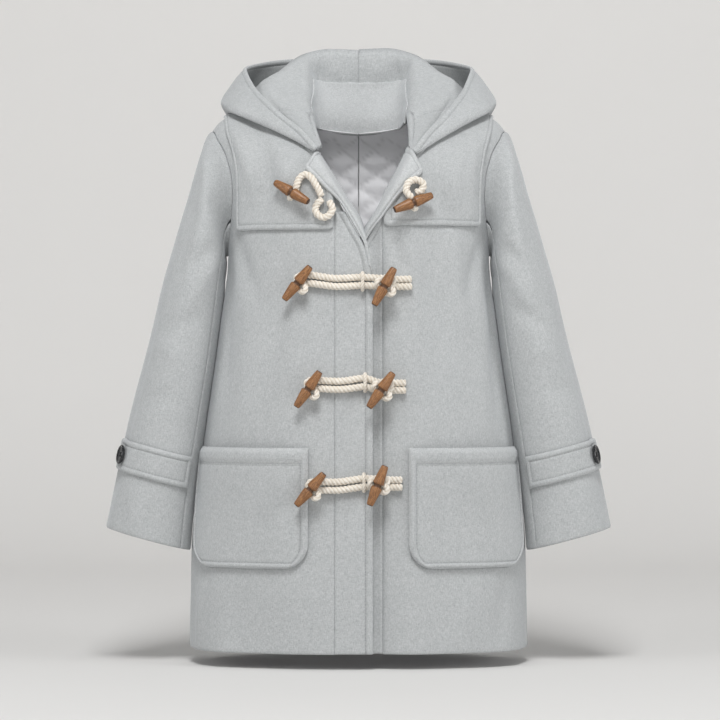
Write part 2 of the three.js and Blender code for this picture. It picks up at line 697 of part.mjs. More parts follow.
// The side of the hood away from the wearer, at one station: up from the neck, over the roll, down
// and up to the rim
function hoodProfile(side, w) {
  const { neck, roll, base, rim } = hoodStation(side, w);
  const deep = 1 - smooth(0.45, 0.95, w);
  const stand = neck.clone().lerp(roll, 0.06);
  stand.z = neck.z + mix(12, 4, smooth(0.8, 1, w));
  const rise = neck.clone().lerp(roll, 0.55);
  rise.z += 8 * smooth(0.4, 0.6, w) * (1 - smooth(0.75, 0.95, w));
  rise.y -= 6 * deep;
  rise.x -= 9 * smooth(0.2, 0.5, w) * (1 - smooth(0.6, 0.9, w));
  const fall = roll.clone().lerp(base, 0.35);
  fall.y += 3 * deep;
  const low = roll.clone().lerp(base, 0.8);
  low.y -= 7 * deep;
  low.z -= 2 * deep;
  const wallLow = base.clone().lerp(rim, 0.25);
  const wallHigh = base.clone().lerp(rim, 0.65);
  const outward = new THREE.Vector3(base.x, base.y - 20, 0).normalize();
  wallLow.addScaledVector(outward, 17 * deep + 1.5);
  wallHigh.addScaledVector(outward, 13 * deep + 1);
  const over = roll.clone();
  over.z += 0.5;
  return new THREE.CatmullRomCurve3(
    [neck, stand, rise, over, fall, low, base, wallLow, wallHigh, rim],
    false,
    "centripetal",
  );
}

const hoodWays = [0, 0.18, 0.34, 0.44, 0.52, 0.6, 0.7, 0.76, 0.82, 0.87, 0.92, 1];
const hoodHeights = [0, 0.07, 0.15, 0.22, 0.28, 0.33, 0.4, 0.5, 0.58, 0.67, 0.75, 0.87, 1];

function makeHood(side) {
  const grid = sample(hoodWays, hoodHeights, (w, t) => hoodPoint(side, w, t));
  grid.points[0].forEach((point) => {
    point.x = side.sign * 0.2;
  });
  grid.normals[0].forEach((normal) => normal.setX(0).normalize());
  add("hood_" + side.name, wall(grid, 0, -wool, side.sign), colours.wool, 0.95);
}

function hoodPoint(side, w, t) {
  const point = hoodProfile(side, Math.max(w, 0)).getPoint(Math.min(Math.max(t, 0), 1));
  point.x *= side.sign;
  return point;
}

// The band round the foot of the hood, raised on its inner face
function makeStand() {
  const near = hoodWays.filter((w) => w <= 0.7);
  const ways = [...near.slice(1).reverse().map((w) => -w), ...near];
  const grid = sample([0.035, 0.07, 0.15, 0.22, 0.245], ways, (t, w) => {
    const side = w < 0 ? sides[0] : sides[1];
    return hoodPoint(side, Math.abs(w), t);
  });
  add("hood_stand", wall(grid, wool + 2.7, wool + 1, 1), colours.facing, 0.95);
}

// Fastenings

// A rope through places on the front, each given as [x, z, lift]
function rope(name, places, count) {
  const points = places.map(([x, z, lift]) => onFront(x, z, lift));
  addRope(name, points, count);
}

function addRope(name, points, count) {
  const section = new THREE.Shape();
  section.absarc(0, 0, ropeRadius, 0, 2 * Math.PI, false);
  const geometry = new THREE.ExtrudeGeometry(section, {
    steps: count,
    curveSegments: 4,
    bevelEnabled: false,
    extrudePath: new THREE.CatmullRomCurve3(points, false, "centripetal"),
  });
  add(name, geometry, colours.rope, 0.9);
}

// A half turn of rope round a middle; out is 1 towards the wearer's left and -1 towards the right
function bight(tipX, z, out, lift, halfGap) {
  return [-75, -38, 0, 38, 75].map((angle) => {
    const x = tipX - out * halfGap * (1 - Math.cos(angle * toRadians));
    return [x, z + halfGap * Math.sin(angle * toRadians), lift];
  });
}

// How high a loop runs: it climbs over the anchor, and over the pocket's edge in the lowest row
function loopLift(x, rise) {
  return ropeLift + 3 * smooth(14, 34, x) + rise * smooth(-34, -48, x);
}

function makeLoop(row) {
  const gap = loopHalfGap;
  const strand = (x, z, way) => [x, z + way * gap, loopLift(x, row.rise)];
  const rightTip = bight(row.rightX, row.rightZ, 1, loopLift(row.rightX, 0), gap).reverse();
  rope(
    "loop_" + row.name,
    [
      strand(row.bindX - 1.2, row.bindZ, -1),
      strand(row.middleX, row.middleZ, -1),
      strand(row.leftX + 15, row.leftZ, -1),
      ...bight(row.leftX, row.leftZ, -1, ropeLift + row.rise, gap),
      strand(row.leftX + 15, row.leftZ, 1),
      strand(row.middleX, row.middleZ, 1),
      strand(row.bindX, row.bindZ, 1),
      strand(row.rightX - 14, row.rightZ, 1),
      ...rightTip,
      strand(row.rightX - 14, row.rightZ, -1),
      strand(row.bindX + 1.2, row.bindZ, -1),
    ],
    30,
  );
}

// How high an anchor runs: on the left front, which is set in near its edge
function anchorLift(x) {
  return ropeLift - underlap * smooth(62, 26, x);
}

function makeAnchor(row) {
  const gap = 4.5;
  const place = (x, way) => [x, row.anchorZ + way * gap, anchorLift(x)];
  const turn = bight(row.anchorTip, row.anchorZ, -1, 0, gap).map(([x, z]) => [x, z, anchorLift(x)]);
  const middle = (row.anchorTip + row.anchorEnd) / 2 + 4;
  const ends = [place(row.anchorEnd, -1), place(middle, -1), place(middle, 1), place(row.anchorEnd, 1)];
  rope("anchor_" + row.name, [ends[0], ends[1], ...turn, ends[2], ends[3]], 14);
}

// The bound place where a loop is sewn down at the front edge
function makeBinding(row) {
  const reach = loopHalfGap + ropeRadius + 1.1;
  const over = ropeLift + ropeRadius + 0.7;
  const rows = [
    [-reach, 0.9],
    [-reach + 0.1, 4.5],
    [-reach + 2.2, over - 0.9],
    [-loopHalfGap, over],
    [loopHalfGap, over],
    [reach - 2.2, over - 0.9],
    [reach - 0.1, 4.5],
    [reach, 0.9],
  ];
  const placeOf = (at, column) => {
    const i = Math.min(Math.max(Math.floor(at), 0), rows.length - 2);
    return mix(rows[i][column], rows[i + 1][column], at - i);
  };
  const grid = sample(steps(7, 0, 7), [row.bindX - 2, row.bindX + 2], (r, x) =>
    onFront(x, row.bindZ + placeOf(r, 0), placeOf(r, 1)),
  );
  add("binding_" + row.name, wall(grid, 1, 0, 1), colours.rope, 0.9);
}

// The wooden toggles, with a groove round the middle
function makeToggle(toggle) {
  const half = toggleLength / 2;
  const profile = [
    [0, -half],
    [3.7, -half],
    [toggleRadius, -6.5],
    [toggleRadius, -5],
    [toggleNeck, -4.4],
    [toggleNeck, 4.4],
    [toggleRadius, 5],
    [toggleRadius, 6.5],
    [3.7, half],
    [0, half],
  ].map(([r, h]) => new THREE.Vector2(r, h));
  const mesh = add("toggle_" + toggle.name, new THREE.LatheGeometry(profile, 8), colours.wood, 0.4);
  const { middle, axis } = toggleFrame(toggle);
  mesh.quaternion.setFromUnitVectors(new THREE.Vector3(0, 1, 0), axis);
  mesh.position.copy(middle);
}

// A toggle's middle, its axis, the way across it on the front, and the way out
function toggleFrame(toggle) {
  const lean = toggle.lean * toRadians;
  const reach = 18;
  const at = (way) =>
    onFront(toggle.x + way * reach * Math.sin(lean), toggle.z + way * reach * Math.cos(lean), toggle.lift);
  const middle = at(0);
  const axis = at(1).sub(at(-1)).normalize();
  const front = onFront(toggle.x, toggle.z, toggle.lift + 5).sub(middle).normalize();
  const across = new THREE.Vector3().crossVectors(axis, front).normalize();
  return { middle, axis, across, out: new THREE.Vector3().crossVectors(across, axis).normalize() };
}

// Places round a toggle's groove: 0 is across it, 90 in front of it and 270 behind it
function roundToggle(toggle, angles, radius) {
  const { middle, across, out } = toggleFrame(toggle);
  return angles.map((angle) => {
    const turn = angle * toRadians;
    return middle
      .clone()
      .addScaledVector(across, radius * Math.cos(turn))
      .addScaledVector(out, radius * Math.sin(turn));
  });
}

// The open top row: each rope goes once round its toggle, and the loop hangs free
function makeTopRow() {
  const reach = toggleNeck + ropeRadius + 0.4;
  const onYoke = skinGap + wool + ropeRadius + 0.6;
  const onRight = (px, pz, lift) => onFront(px, pz, lift);
  addRope(
    "rope_right_1",
    [
      onRight(-58.4, -60.5, onYoke),
      onRight(-63.5, -68, onYoke),
      ...roundToggle(toggles[0], [-75, -110, -145, -180, -215, -250, -285, -320], reach),
      onRight(-57, -72, onYoke + 9),
      onRight(-50.5, -78.5, onYoke + 3),
      onRight(-44.5, -82.2, onYoke),
    ],
    20,
  );
  addRope(
    "rope_left_1",
    [
      onRight(74, -70.8, onYoke),
      onRight(67.5, -70.9, onYoke + 4),
      ...roundToggle(toggles[1], [145, 120, 90, 50, 15, -20, -55, -88], reach),
      onRight(63.5, -81.3, onYoke),
      onRight(72.5, -81.3, onYoke),
    ],
    20,
  );
  rope(
    "loop_1",
    [
      [-40.5, -87.5, onYoke],
      [-46, -92.5, onYoke],
      [-48.4, -99, onYoke],
      [-46, -105.3, onYoke],
      [-39, -108.6, onYoke],
      [-32.6, -105.5, onYoke],
      [-29, -99, onYoke],
      [-30.8, -96, onYoke],
    ],
    16,
  );
}

makeSides();
makeStand();
loops.forEach(makeLoop);
loops.forEach(makeAnchor);
loops.forEach(makeBinding);
toggles.forEach(makeToggle);
makeTopRow();

function makeSides() {
  for (const side of sides) {
    makeBody(side);
    makeBand(side);
    makeFacing(side);
    makeLapel(side);
    makeLining(side);
    makeYoke(side);
    makePocket(side);
    makeSleeve(side);
    makeCuffTab(side);
    makeCuffButton(side);
    makeHood(side);
  }
}

export default group;
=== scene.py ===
# Child's wool duffle coat, filled out with nobody in it. Sizes are in millimetres until a mesh is made
import bpy
import numpy as np
from mathutils import Matrix, Vector


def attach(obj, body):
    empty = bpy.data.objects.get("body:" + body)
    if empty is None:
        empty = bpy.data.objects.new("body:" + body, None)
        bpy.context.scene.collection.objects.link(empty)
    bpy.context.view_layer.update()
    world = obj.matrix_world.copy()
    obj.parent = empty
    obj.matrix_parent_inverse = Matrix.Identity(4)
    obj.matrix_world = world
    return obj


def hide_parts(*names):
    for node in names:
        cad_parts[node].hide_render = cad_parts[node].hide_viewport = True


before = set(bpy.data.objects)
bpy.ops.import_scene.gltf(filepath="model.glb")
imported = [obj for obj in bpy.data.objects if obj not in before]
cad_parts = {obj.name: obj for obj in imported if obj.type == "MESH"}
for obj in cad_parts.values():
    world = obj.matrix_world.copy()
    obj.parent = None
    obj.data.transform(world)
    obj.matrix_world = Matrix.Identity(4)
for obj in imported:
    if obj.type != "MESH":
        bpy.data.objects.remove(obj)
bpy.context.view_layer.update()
scene = bpy.context.scene
sides = {"right": -1, "left": 1}

cloth = {"wool": 2.8, "facing": 2.0, "lining": 2.0, "skinGap": 1.0, "squareness": 0.85}
front = {"chest": -80.0, "length": 610.0, "bandSeam": 27.3, "underlap": 7.5}
chestRise = 143  # over the chest line the front's height grows by this for each step of v
armholeFoot = 0.868  # v at the lowest place of the armhole
skinAngle = 2.5  # millimetres of cloth for a degree round the body


def placed(name, data):
    piece = bpy.data.objects.new(name, data)
    scene.collection.objects.link(piece)
    return piece


def newMesh(name, vertices, faces):
    mesh = bpy.data.meshes.new(name)
    mesh.from_pydata(vertices, [], faces)
    mesh.update()
    mesh.shade_smooth()
    return mesh


# Gives each point of a mesh a value that its material reads
def carry(mesh, name, values):
    layer = mesh.attributes.new(name, "FLOAT", "POINT")
    layer.data.foreach_set("value", np.concatenate(values, axis=None).astype(np.float32))


def deselect():
    bpy.ops.object.select_all(action="DESELECT")


def makeStage():
    camera = bpy.data.cameras.new("camera")
    camera.lens = 152.2
    camera.sensor_width = 36.0
    camera.clip_end = 50
    eye = placed("camera", camera)
    eye.location = (0.0017, -3.6, -0.272)
    eye.rotation_euler = (np.radians(90), 0, 0)
    scene.camera = eye
    scene.view_settings.view_transform = "Standard"

    sweep = {"floor": -0.628, "front": -6.0, "back": 1.6, "bend": 1.2, "top": 4.5, "half": 7.0, "steps": 16}
    low, back, bend = sweep["floor"], sweep["back"], sweep["bend"]
    profile = [(sweep["front"], low), (back, low)]
    for step in range(1, sweep["steps"] + 1):
        turn = np.radians(90 * step / sweep["steps"])
        profile.append((back + bend * np.sin(turn), low + bend * (1 - np.cos(turn))))
    profile.append((back + bend, sweep["top"]))
    points = [(x, y, z) for y, z in profile for x in (-sweep["half"], sweep["half"])]
    faces = [(2 * i, 2 * i + 1, 2 * i + 3, 2 * i + 2) for i in range(len(profile) - 1)]
    floor = placed("floor", newMesh("floor", points, faces))
    floor.data.materials.append(paperMaterial())

    lights = [
        {"name": "keyLight", "at": (-0.1, -2.1, 2.6), "aim": (0, 0, -0.25), "size": 1.1, "power": 88},
        {"name": "frontLight", "at": (-0.1, -4.2, -0.1), "aim": (0, 0, -0.2), "size": 0.8, "power": 16},
        {"name": "rightLight", "at": (3.0, -1.6, 0.4), "aim": (0, 0, -0.3), "size": 1.1, "power": 34},
        {"name": "leftLight", "at": (-2.8, -1.7, 0.7), "aim": (0, 0, -0.3), "size": 1.2, "power": 22},
    ]
    for light in lights:
        data = bpy.data.lights.new(light["name"], "AREA")
        data.size = light["size"]
        data.energy = light["power"]
        lamp = placed(light["name"], data)
        lamp.location = light["at"]
        lamp.rotation_euler = (Vector(light["aim"]) - lamp.location).to_track_quat("-Z", "Y").to_euler()
    world = bpy.data.worlds.new("softRoom")
    world.use_nodes = True
    setLook(world.node_tree.nodes["Background"], Color=(1.0, 0.995, 0.985, 1), Strength=0.25)
    scene.world = world


# Constants on a shader's own sockets
def setLook(shader, **values):
    for name, value in values.items():
        shader.inputs[name.replace("_", " ")].default_value = value


def newMaterial(name):
    material = bpy.data.materials.new(name)
    material.use_nodes = True
    tree = material.node_tree
    return material, tree, tree.nodes["Principled BSDF"]


def plainMaterial(name, colour, roughness):
    material, tree, shader = newMaterial(name)
    setLook(shader, Base_Color=(*colour, 1), Roughness=roughness)
    return material


# Pale paper with painted shade: its colour is darker where the floor comes forward under the lights, to hold
# the lit floor down
def paperMaterial():
    material, tree, shader = newMaterial("palePaper")
    setLook(shader, Roughness=0.9)
    place = tree.nodes.new("ShaderNodeTexCoord").outputs["Object"]
    depth = add(tree, "ShaderNodeSeparateXYZ", {"Vector": place}).outputs["Y"]
    far = add(tree, "ShaderNodeMapRange", {"Value": depth}, From_Min=0.0, From_Max=2.4).outputs["Result"]
    # painted shade: darkest at the front of the floor, lightening to the paper's own tone further back
    tone = ramp(tree, far, [(0, (0.70, 0.695, 0.685)), (1, (0.89, 0.88, 0.865))])
    tree.links.new(tone, shader.inputs["Base Color"])
    # Seen from behind the paper is clear, so that the back of the coat can be looked at
    behind = tree.nodes.new("ShaderNodeNewGeometry").outputs["Backfacing"]
    tree.links.new(maths(tree, "SUBTRACT", 1.0, behind), shader.inputs["Alpha"])
    return material


def add(tree, kind, links=None, **values):
    node = tree.nodes.new(kind)
    for key, value in values.items():
        if hasattr(node, key):
            setattr(node, key, value)
        else:
            node.inputs[key.replace("_", " ")].default_value = value
    for socket, source in (links or {}).items():
        tree.links.new(source, node.inputs[socket])
    return node


def maths(tree, operation, a, b=None, c=None):
    node = tree.nodes.new("ShaderNodeMath")
    node.operation = operation
    for i, value in enumerate((a, b, c)):
        if value is None:
            continue
        if isinstance(value, (int, float)):
            node.inputs[i].default_value = value
        else:
            tree.links.new(value, node.inputs[i])
    return node.outputs[0]


def ramp(tree, source, stops):
    node = tree.nodes.new("ShaderNodeValToRGB")
    while len(node.color_ramp.elements) < len(stops):
        node.color_ramp.elements.new(0.5)
    for element, (place, colour) in zip(node.color_ramp.elements, stops):
        element.position = place
        element.color = (*colour, 1)
    tree.links.new(source, node.inputs["Fac"])
    return node.outputs["Color"]


def noise(tree, place, scale, detail, **values):
    node = add(tree, "ShaderNodeTexNoise", {"Vector": place}, Scale=scale, Detail=detail, **values)
    return node.outputs["Fac"]


# A value that a piece's mesh carries
def carried(tree, name, output="Fac"):
    return add(tree, "ShaderNodeAttribute", attribute_name=name).outputs[output]


# Two colours mixed by a factor. Each of the three is a value or another node's output
def colourMix(tree, factor, first, second, blend="MIX"):
    node = add(tree, "ShaderNodeMix", data_type="RGBA", blend_type=blend)
    sockets = (node.inputs["Factor"], node.inputs[6], node.inputs[7])
    for socket, value in zip(sockets, (factor, first, second)):
        if isinstance(value, bpy.types.NodeSocket):
            tree.links.new(value, socket)
        else:
            socket.default_value = value
    return node.outputs[2]


def shaded(tree, base, shade):
    grey = add(tree, "ShaderNodeCombineColor", {"Red": shade, "Green": shade, "Blue": shade})
    return colourMix(tree, 1.0, base, grey.outputs["Color"], "MULTIPLY")


def raised(tree, shader, height, strength, distance):
    bump = add(tree, "ShaderNodeBump", {"Height": height}, Strength=strength, Distance=distance)
    tree.links.new(bump.outputs["Normal"], shader.inputs["Normal"])


# The look of felted wool, shared by the outer cloth and the facings: fibre colour, fibre height and pits
def woolGroup():
    group = bpy.data.node_groups.new("feltedWool", "ShaderNodeTree")
    face = group.interface
    face.new_socket("Dark", in_out="INPUT", socket_type="NodeSocketColor")
    face.new_socket("Light", in_out="INPUT", socket_type="NodeSocketColor")
    face.new_socket("Color", in_out="OUTPUT", socket_type="NodeSocketColor")
    face.new_socket("Height", in_out="OUTPUT", socket_type="NodeSocketFloat")
    start = group.nodes.new("NodeGroupInput")
    end = group.nodes.new("NodeGroupOutput")
    place = group.nodes.new("ShaderNodeTexCoord").outputs["Object"]
    # fibres lie three ways: fineness, stretch and turn
    ways = [(1250.0, (1, 1, 0.22), (0.5, 0.3, 0)), (1050.0, (0.22, 1, 1), (0, 0.9, 0.4)),
            (1150.0, (1, 1, 0.3), (0.2, -0.8, 0.3))]
    fibres = []
    for scale, stretch, turn in ways:
        mapping = add(group, "ShaderNodeMapping", {"Vector": place}, Scale=stretch, Rotation=turn)
        fibres.append(noise(group, mapping.outputs["Vector"], scale, 2.0, Roughness=0.6))
    heather = maths(group, "ADD", maths(group, "ADD", fibres[0], fibres[1]), fibres[2])
    heather = maths(group, "DIVIDE", heather, 3.0)
    cloudy = noise(group, place, 26.0, 3.0, Roughness=0.55)
    mottle = noise(group, place, 170.0, 2.0, Roughness=0.5)
    tone = maths(group, "MULTIPLY_ADD", heather, 3.0, -1.0)
    tone = maths(group, "ADD", tone, maths(group, "MULTIPLY_ADD", cloudy, 0.16, -0.08))
    tone = maths(group, "ADD", tone, maths(group, "MULTIPLY_ADD", mottle, 0.3, -0.15))
    fibre = colourMix(group, tone, start.outputs["Dark"], start.outputs["Light"])
    group.links.new(fibre, end.inputs["Color"])
    height = maths(group, "ADD", heather, maths(group, "MULTIPLY", mottle, 0.5))
    group.links.new(height, end.inputs["Height"])
    return group


stitching = {"inset": 6.6, "length": 3.4}


def woolMaterial(name, group, dark, light):
    material, tree, shader = newMaterial(name)
    wool = tree.nodes.new("ShaderNodeGroup")
    wool.node_tree = group
    setLook(wool, Dark=(*dark, 1), Light=(*light, 1))
    edge, along = carried(tree, "edge"), carried(tree, "along")
    # machine stitches run in a soft ditch beside each finished edge, and the ditch is darkened with painted
    # shade
    fromDitch = maths(tree, "ABSOLUTE", maths(tree, "SUBTRACT", edge, stitching["inset"]))
    inDitch = maths(tree, "SUBTRACT", 1.0, maths(tree, "MULTIPLY", fromDitch, 1.1))
    inDitch = maths(tree, "MAXIMUM", inDitch, 0.0)
    beat = maths(tree, "SINE", maths(tree, "MULTIPLY", along, 2 * np.pi / stitching["length"]))
    stitch = maths(tree, "MULTIPLY", inDitch, maths(tree, "MAXIMUM", beat, 0.0))
    # painted shade: the colour is darker in the ditch
    shade = maths(tree, "MULTIPLY_ADD", inDitch, -0.22, 1.0)
    shade = maths(tree, "ADD", shade, maths(tree, "MULTIPLY", stitch, 0.12))
    # painted highlight: the colour is lighter within about two millimetres of each finished edge
    paintedEdgeHighlight = maths(tree, "SUBTRACT", 1.0, maths(tree, "MINIMUM", maths(tree, "MULTIPLY", edge, 0.45), 1.0))
    shade = maths(tree, "ADD", shade, maths(tree, "MULTIPLY", paintedEdgeHighlight, 0.07))
    tree.links.new(shaded(tree, wool.outputs["Color"], shade), shader.inputs["Base Color"])
    height = maths(tree, "ADD", wool.outputs["Height"], maths(tree, "MULTIPLY", stitch, 0.9))
    raised(tree, shader, height, 0.55, 0.0005)
    setLook(shader, Roughness=0.95, Specular_IOR_Level=0.12, Sheen_Weight=0.28, Sheen_Roughness=0.5)
    setLook(shader, Sheen_Tint=(0.92, 0.96, 1.0, 1))
    return material


def liningMaterial():
    material, tree, shader = newMaterial("quiltedSatin")
    place = tree.nodes.new("ShaderNodeTexCoord").outputs["Object"]
    fine = add(tree, "ShaderNodeMapping", {"Vector": place}, Scale=(1, 1, 0.12))
    thread = noise(tree, fine.outputs["Vector"], 1500.0, 1.0)
    soft = noise(tree, place, 60.0, 3.0)
    quilt = carried(tree, "quilt")
    tone = maths(tree, "MULTIPLY_ADD", thread, 0.25, maths(tree, "MULTIPLY", soft, 0.5))
    base = ramp(tree, tone, [(0.2, (0.88, 0.88, 0.90)), (0.7, (0.95, 0.95, 0.97))])
    # painted shade: the satin is darker along the quilting lines, in the dips between the puffs
    shade = maths(tree, "MULTIPLY_ADD", quilt, -0.2, 1.0)
    tree.links.new(shaded(tree, base, shade), shader.inputs["Base Color"])
    height = maths(tree, "MULTIPLY_ADD", thread, 0.15, soft)
    raised(tree, shader, height, 0.35, 0.0012)
    rough = maths(tree, "MULTIPLY_ADD", soft, 0.2, 0.4)
    tree.links.new(rough, shader.inputs["Roughness"])
    setLook(shader, Specular_IOR_Level=1.0, Sheen_Weight=0.35)
    return material


def ropeMaterial():
    material, tree, shader = newMaterial("cottonRope")
    place = tree.nodes.new("ShaderNodeTexCoord").outputs["Object"]
    fluff = noise(tree, place, 1400.0, 2.0)
    soft = noise(tree, place, 130.0, 2.0)
    twist = maths(tree, "MULTIPLY_ADD", carried(tree, "yarn"), 6.283, maths(tree, "MULTIPLY", fluff, 2.0))
    lines = maths(tree, "SINE", twist)
    tone = maths(tree, "MULTIPLY_ADD", fluff, 0.35, maths(tree, "MULTIPLY", soft, 0.5))
    tone = maths(tree, "MULTIPLY_ADD", lines, 0.09, tone)
    stops = [(0.15, (0.74, 0.67, 0.57)), (0.5, (0.87, 0.82, 0.74)), (0.8, (0.94, 0.91, 0.86))]
    # painted shade: the rope is coloured darker in the grooves between its strands
    colour = colourMix(tree, carried(tree, "groove"), ramp(tree, tone, stops), (0.70, 0.61, 0.49, 1))
    tree.links.new(colour, shader.inputs["Base Color"])
    height = maths(tree, "MULTIPLY_ADD", lines, 0.5, fluff)
    raised(tree, shader, height, 0.6, 0.0004)
    setLook(shader, Roughness=0.85, Sheen_Weight=0.2, Specular_IOR_Level=0.25)
    return material


def woodMaterial():
    material, tree, shader = newMaterial("oiledWood")
    grain = carried(tree, "grain", "Vector")
    stretch = add(tree, "ShaderNodeMapping", {"Vector": grain}, Scale=(0.5, 0.5, 0.035)).outputs["Vector"]
    fine = noise(tree, stretch, 2.6, 5.0, Roughness=0.65, Distortion=0.4)
    pores = noise(tree, stretch, 9.0, 2.0)
    tone = maths(tree, "MULTIPLY_ADD", pores, 0.35, maths(tree, "MULTIPLY", fine, 0.75))
    stops = [(0.36, (0.075, 0.028, 0.011)), (0.5, (0.19, 0.082, 0.030)), (0.66, (0.37, 0.18, 0.07))]
    # darker end grain on the end faces, and painted shade in the groove round the middle
    colour = colourMix(tree, carried(tree, "endGrainAndGrooveShade"), ramp(tree, tone, stops), (0.045, 0.018, 0.008, 1))
    tree.links.new(colour, shader.inputs["Base Color"])
    raised(tree, shader, tone, 0.25, 0.0003)
    rough = maths(tree, "MULTIPLY_ADD", pores, 0.25, 0.3)
    tree.links.new(rough, shader.inputs["Roughness"])
    setLook(shader, Coat_Roughness=0.3)
    return material


def buttonMaterial():
    material, tree, shader = newMaterial("polishedButton")
    place = tree.nodes.new("ShaderNodeTexCoord").outputs["Object"]
    scuffs = noise(tree, place, 300.0, 4.0)
    base = ramp(tree, scuffs, [(0.3, (0.008, 0.009, 0.011)), (0.75, (0.024, 0.025, 0.028))])
    tree.links.new(base, shader.inputs["Base Color"])
    rough = maths(tree, "MULTIPLY_ADD", scuffs, 0.2, 0.16)
    tree.links.new(rough, shader.inputs["Roughness"])
    raised(tree, shader, scuffs, 0.1, 0.0002)
    return material


def curve(places, values):
    x = np.array(places, float)
    y = np.array(values, float)
    slopes = np.diff(y) / np.diff(x)
    tangents = np.empty_like(y)
    tangents[0], tangents[-1] = slopes[0], slopes[-1]
    before, after = slopes[:-1], slopes[1:]
    total = np.where(before + after == 0, 1, before + after)
    tangents[1:-1] = np.where(before * after > 0, 2 * before * after / total, 0)

    def at(place):
        place = np.asarray(place, float)
        i = np.clip(np.searchsorted(x, place, side="right") - 1, 0, len(x) - 2)
        step = x[i + 1] - x[i]
        t = np.clip((place - x[i]) / step, 0, 1)
        start = y[i] * (2 * t**3 - 3 * t**2 + 1) + step * tangents[i] * (t**3 - 2 * t**2 + t)
        return start + y[i + 1] * (3 * t**2 - 2 * t**3) + step * tangents[i + 1] * (t**3 - t**2)

    return at


def table(rows):
    columns = list(zip(*rows))
    return [curve(columns[0], column) for column in columns[1:]]


def smooth(start, end, at):
    t = np.clip((np.asarray(at, float) - start) / (end - start), 0, 1)
    return t * t * (3 - 2 * t)


def mix(a, b, t):
    return a + (b - a) * t


def unit(ways):
    return ways / np.linalg.norm(ways, axis=-1, keepdims=True)


# Lengths of the steps between neighbours in a line or a grid of points
def steps(points, axis=0):
    return np.linalg.norm(np.diff(points, axis=axis), axis=-1)


def travelled(line):
    return np.concatenate([[0], np.cumsum(steps(line))])


# v, half width, front depth, back depth: from the hem, v = 0, to the chest line, v = 1
bodyHalf, bodyFront, bodyBack = table([
    (0.0, 200, 113, 112), (0.22, 198, 111, 110), (0.45, 184, 108, 106), (0.7, 165, 102, 100),
    (0.87, 154, 97, 97), (1.0, 154, 91, 93)])
shoulderHalf, = table([(1.0, 154), (1.15, 157), (1.3, 163), (1.6, 174), (2.0, 178)])
shoulderRidge, = table([
    (0, 16), (60, 16), (110, 19), (145, 17.5), (158, 13.5), (166, 7.5), (173, -1.5), (178, -8)])
# v, and the angles at which the armhole cuts the front and the back
armholeFront, armholeBack = table([
    (armholeFoot, 90, 90), (0.887, 84, 82), (0.915, 79, 75), (0.953, 75.5, 70), (1.0, 72, 66), (1.3, 70, 65),
    (1.6, 73, 69), (2.0, 77, 77)])
# height, and how far each front edge stops short of the centre line
edgeRight, edgeLeft = table([
    (-610, -16.3, -16.3), (-200, -16.3, -16.3), (-169, -14.3, -9), (-146, -9, 2), (-123, 3, 14),
    (-92, 20, 31), (-70, 29, 43), (-50, 37.5, 54), (-29, 46, 64)])
# v, and how far the neck's edge lies from the centre line
neckStart = {"front": 1.356, "back": 1.627}
neckRight, neckLeft = table([(neckStart["front"], 46, 63), (1.5, 53, 63), (1.69, 58, 62), (2.0, 61, 61)])
neckBack, = table([(neckStart["back"], 0), (1.64, 20), (1.71, 45), (1.79, 55), (1.88, 59), (2.0, 61)])
frontEdge = {-1: edgeRight, 1: edgeLeft}
frontNeck = {-1: neckRight, 1: neckLeft}

# Upright folds of the skirt: angle, depth at the hem, width in degrees, top
skirtFolds = [(30, -2.5, 9, 0.5), (52, 3.0, 10, 0.62), (78, -3.0, 9, 0.55), (112, 4.0, 10, 0.6),
              (138, -4.5, 10, 0.7), (162, 4.0, 9, 0.55)]

# Soft creases of the body: side (0 for both), from (angle, height), to (angle, height), depth, width
bodyCreases = [
    (-1, 40, 8, 43, -88, -2.6, 17), (-1, 30, -40, 27, -92, 1.3, 12), (1, 27, -40, 36, -112, -2.4, 13),
    (1, 40, -30, 43, -100, 1.8, 11), (1, 9, -120, 17, -172, -1.8, 9), (-1, 58, -20, 52, -110, -1.4, 12),
    (-1, 34, -30, 44, -112, -1.7, 13), (-1, 52, -6, 56, -95, 1.3, 12), (1, 36, -26, 41, -118, -2.4, 12),
    (1, 50, -12, 55, -108, 1.4, 11), (1, 28, -135, 33, -262, -1.9, 12), (1, 43, -128, 46, -240, 1.0, 13),
    (-1, 30, -148, 34, -330, -1.2, 15), (-1, 50, -170, 46, -350, 1.1, 17), (1, 60, -165, 52, -345, 1.3, 16),
    (-1, 66, -128, 44, -205, -1.6, 12), (1, 67, -130, 50, -198, -1.8, 12), (-1, 72, -170, 60, -300, -1.4, 13),
    (1, 74, -180, 63, -330, -1.5, 12), (-1, 22, -330, 26, -560, 1.0, 15), (1, 25, -360, 24, -590, -1.2, 15),
    (-1, 40, -535, 44, -606, -1.6, 14), (1, 55, -530, 51, -606, -1.9, 13), (-1, 64, -530, 68, -608, 1.5, 12),
    (1, 36, -540, 33, -607, 1.3, 12), (-1, 110, -150, 128, -260, -2.6, 15),
    (1, 113, -146, 134, -240, -2.3, 14), (0, 104, -190, 112, -330, 1.7, 15),
    (-1, 126, -60, 132, -200, 1.8, 17), (1, 124, -70, 128, -190, 1.6, 15),
    (-1, 150, -110, 156, -330, -2.2, 17), (1, 154, -140, 149, -370, -2.6, 18),
    (-1, 168, -220, 164, -420, 1.9, 16), (1, 170, -180, 173, -340, 1.7, 16),
    (-1, 140, -420, 146, -600, 2.0, 15), (1, 143, -400, 138, -598, 1.8, 16),
    (-1, 118, -380, 114, -590, -2.2, 14), (1, 121, -420, 125, -600, -2.0, 14),
    (0, 92, -330, 96, -560, -1.8, 12)]


def upWay(z):
    return (np.asarray(z, float) + front["length"]) / (front["length"] + front["chest"])


def heightOf(v):
    return mix(-front["length"], front["chest"], v)


def halfWidth(v):
    return np.where(v <= 1, bodyHalf(v), shoulderHalf(v))


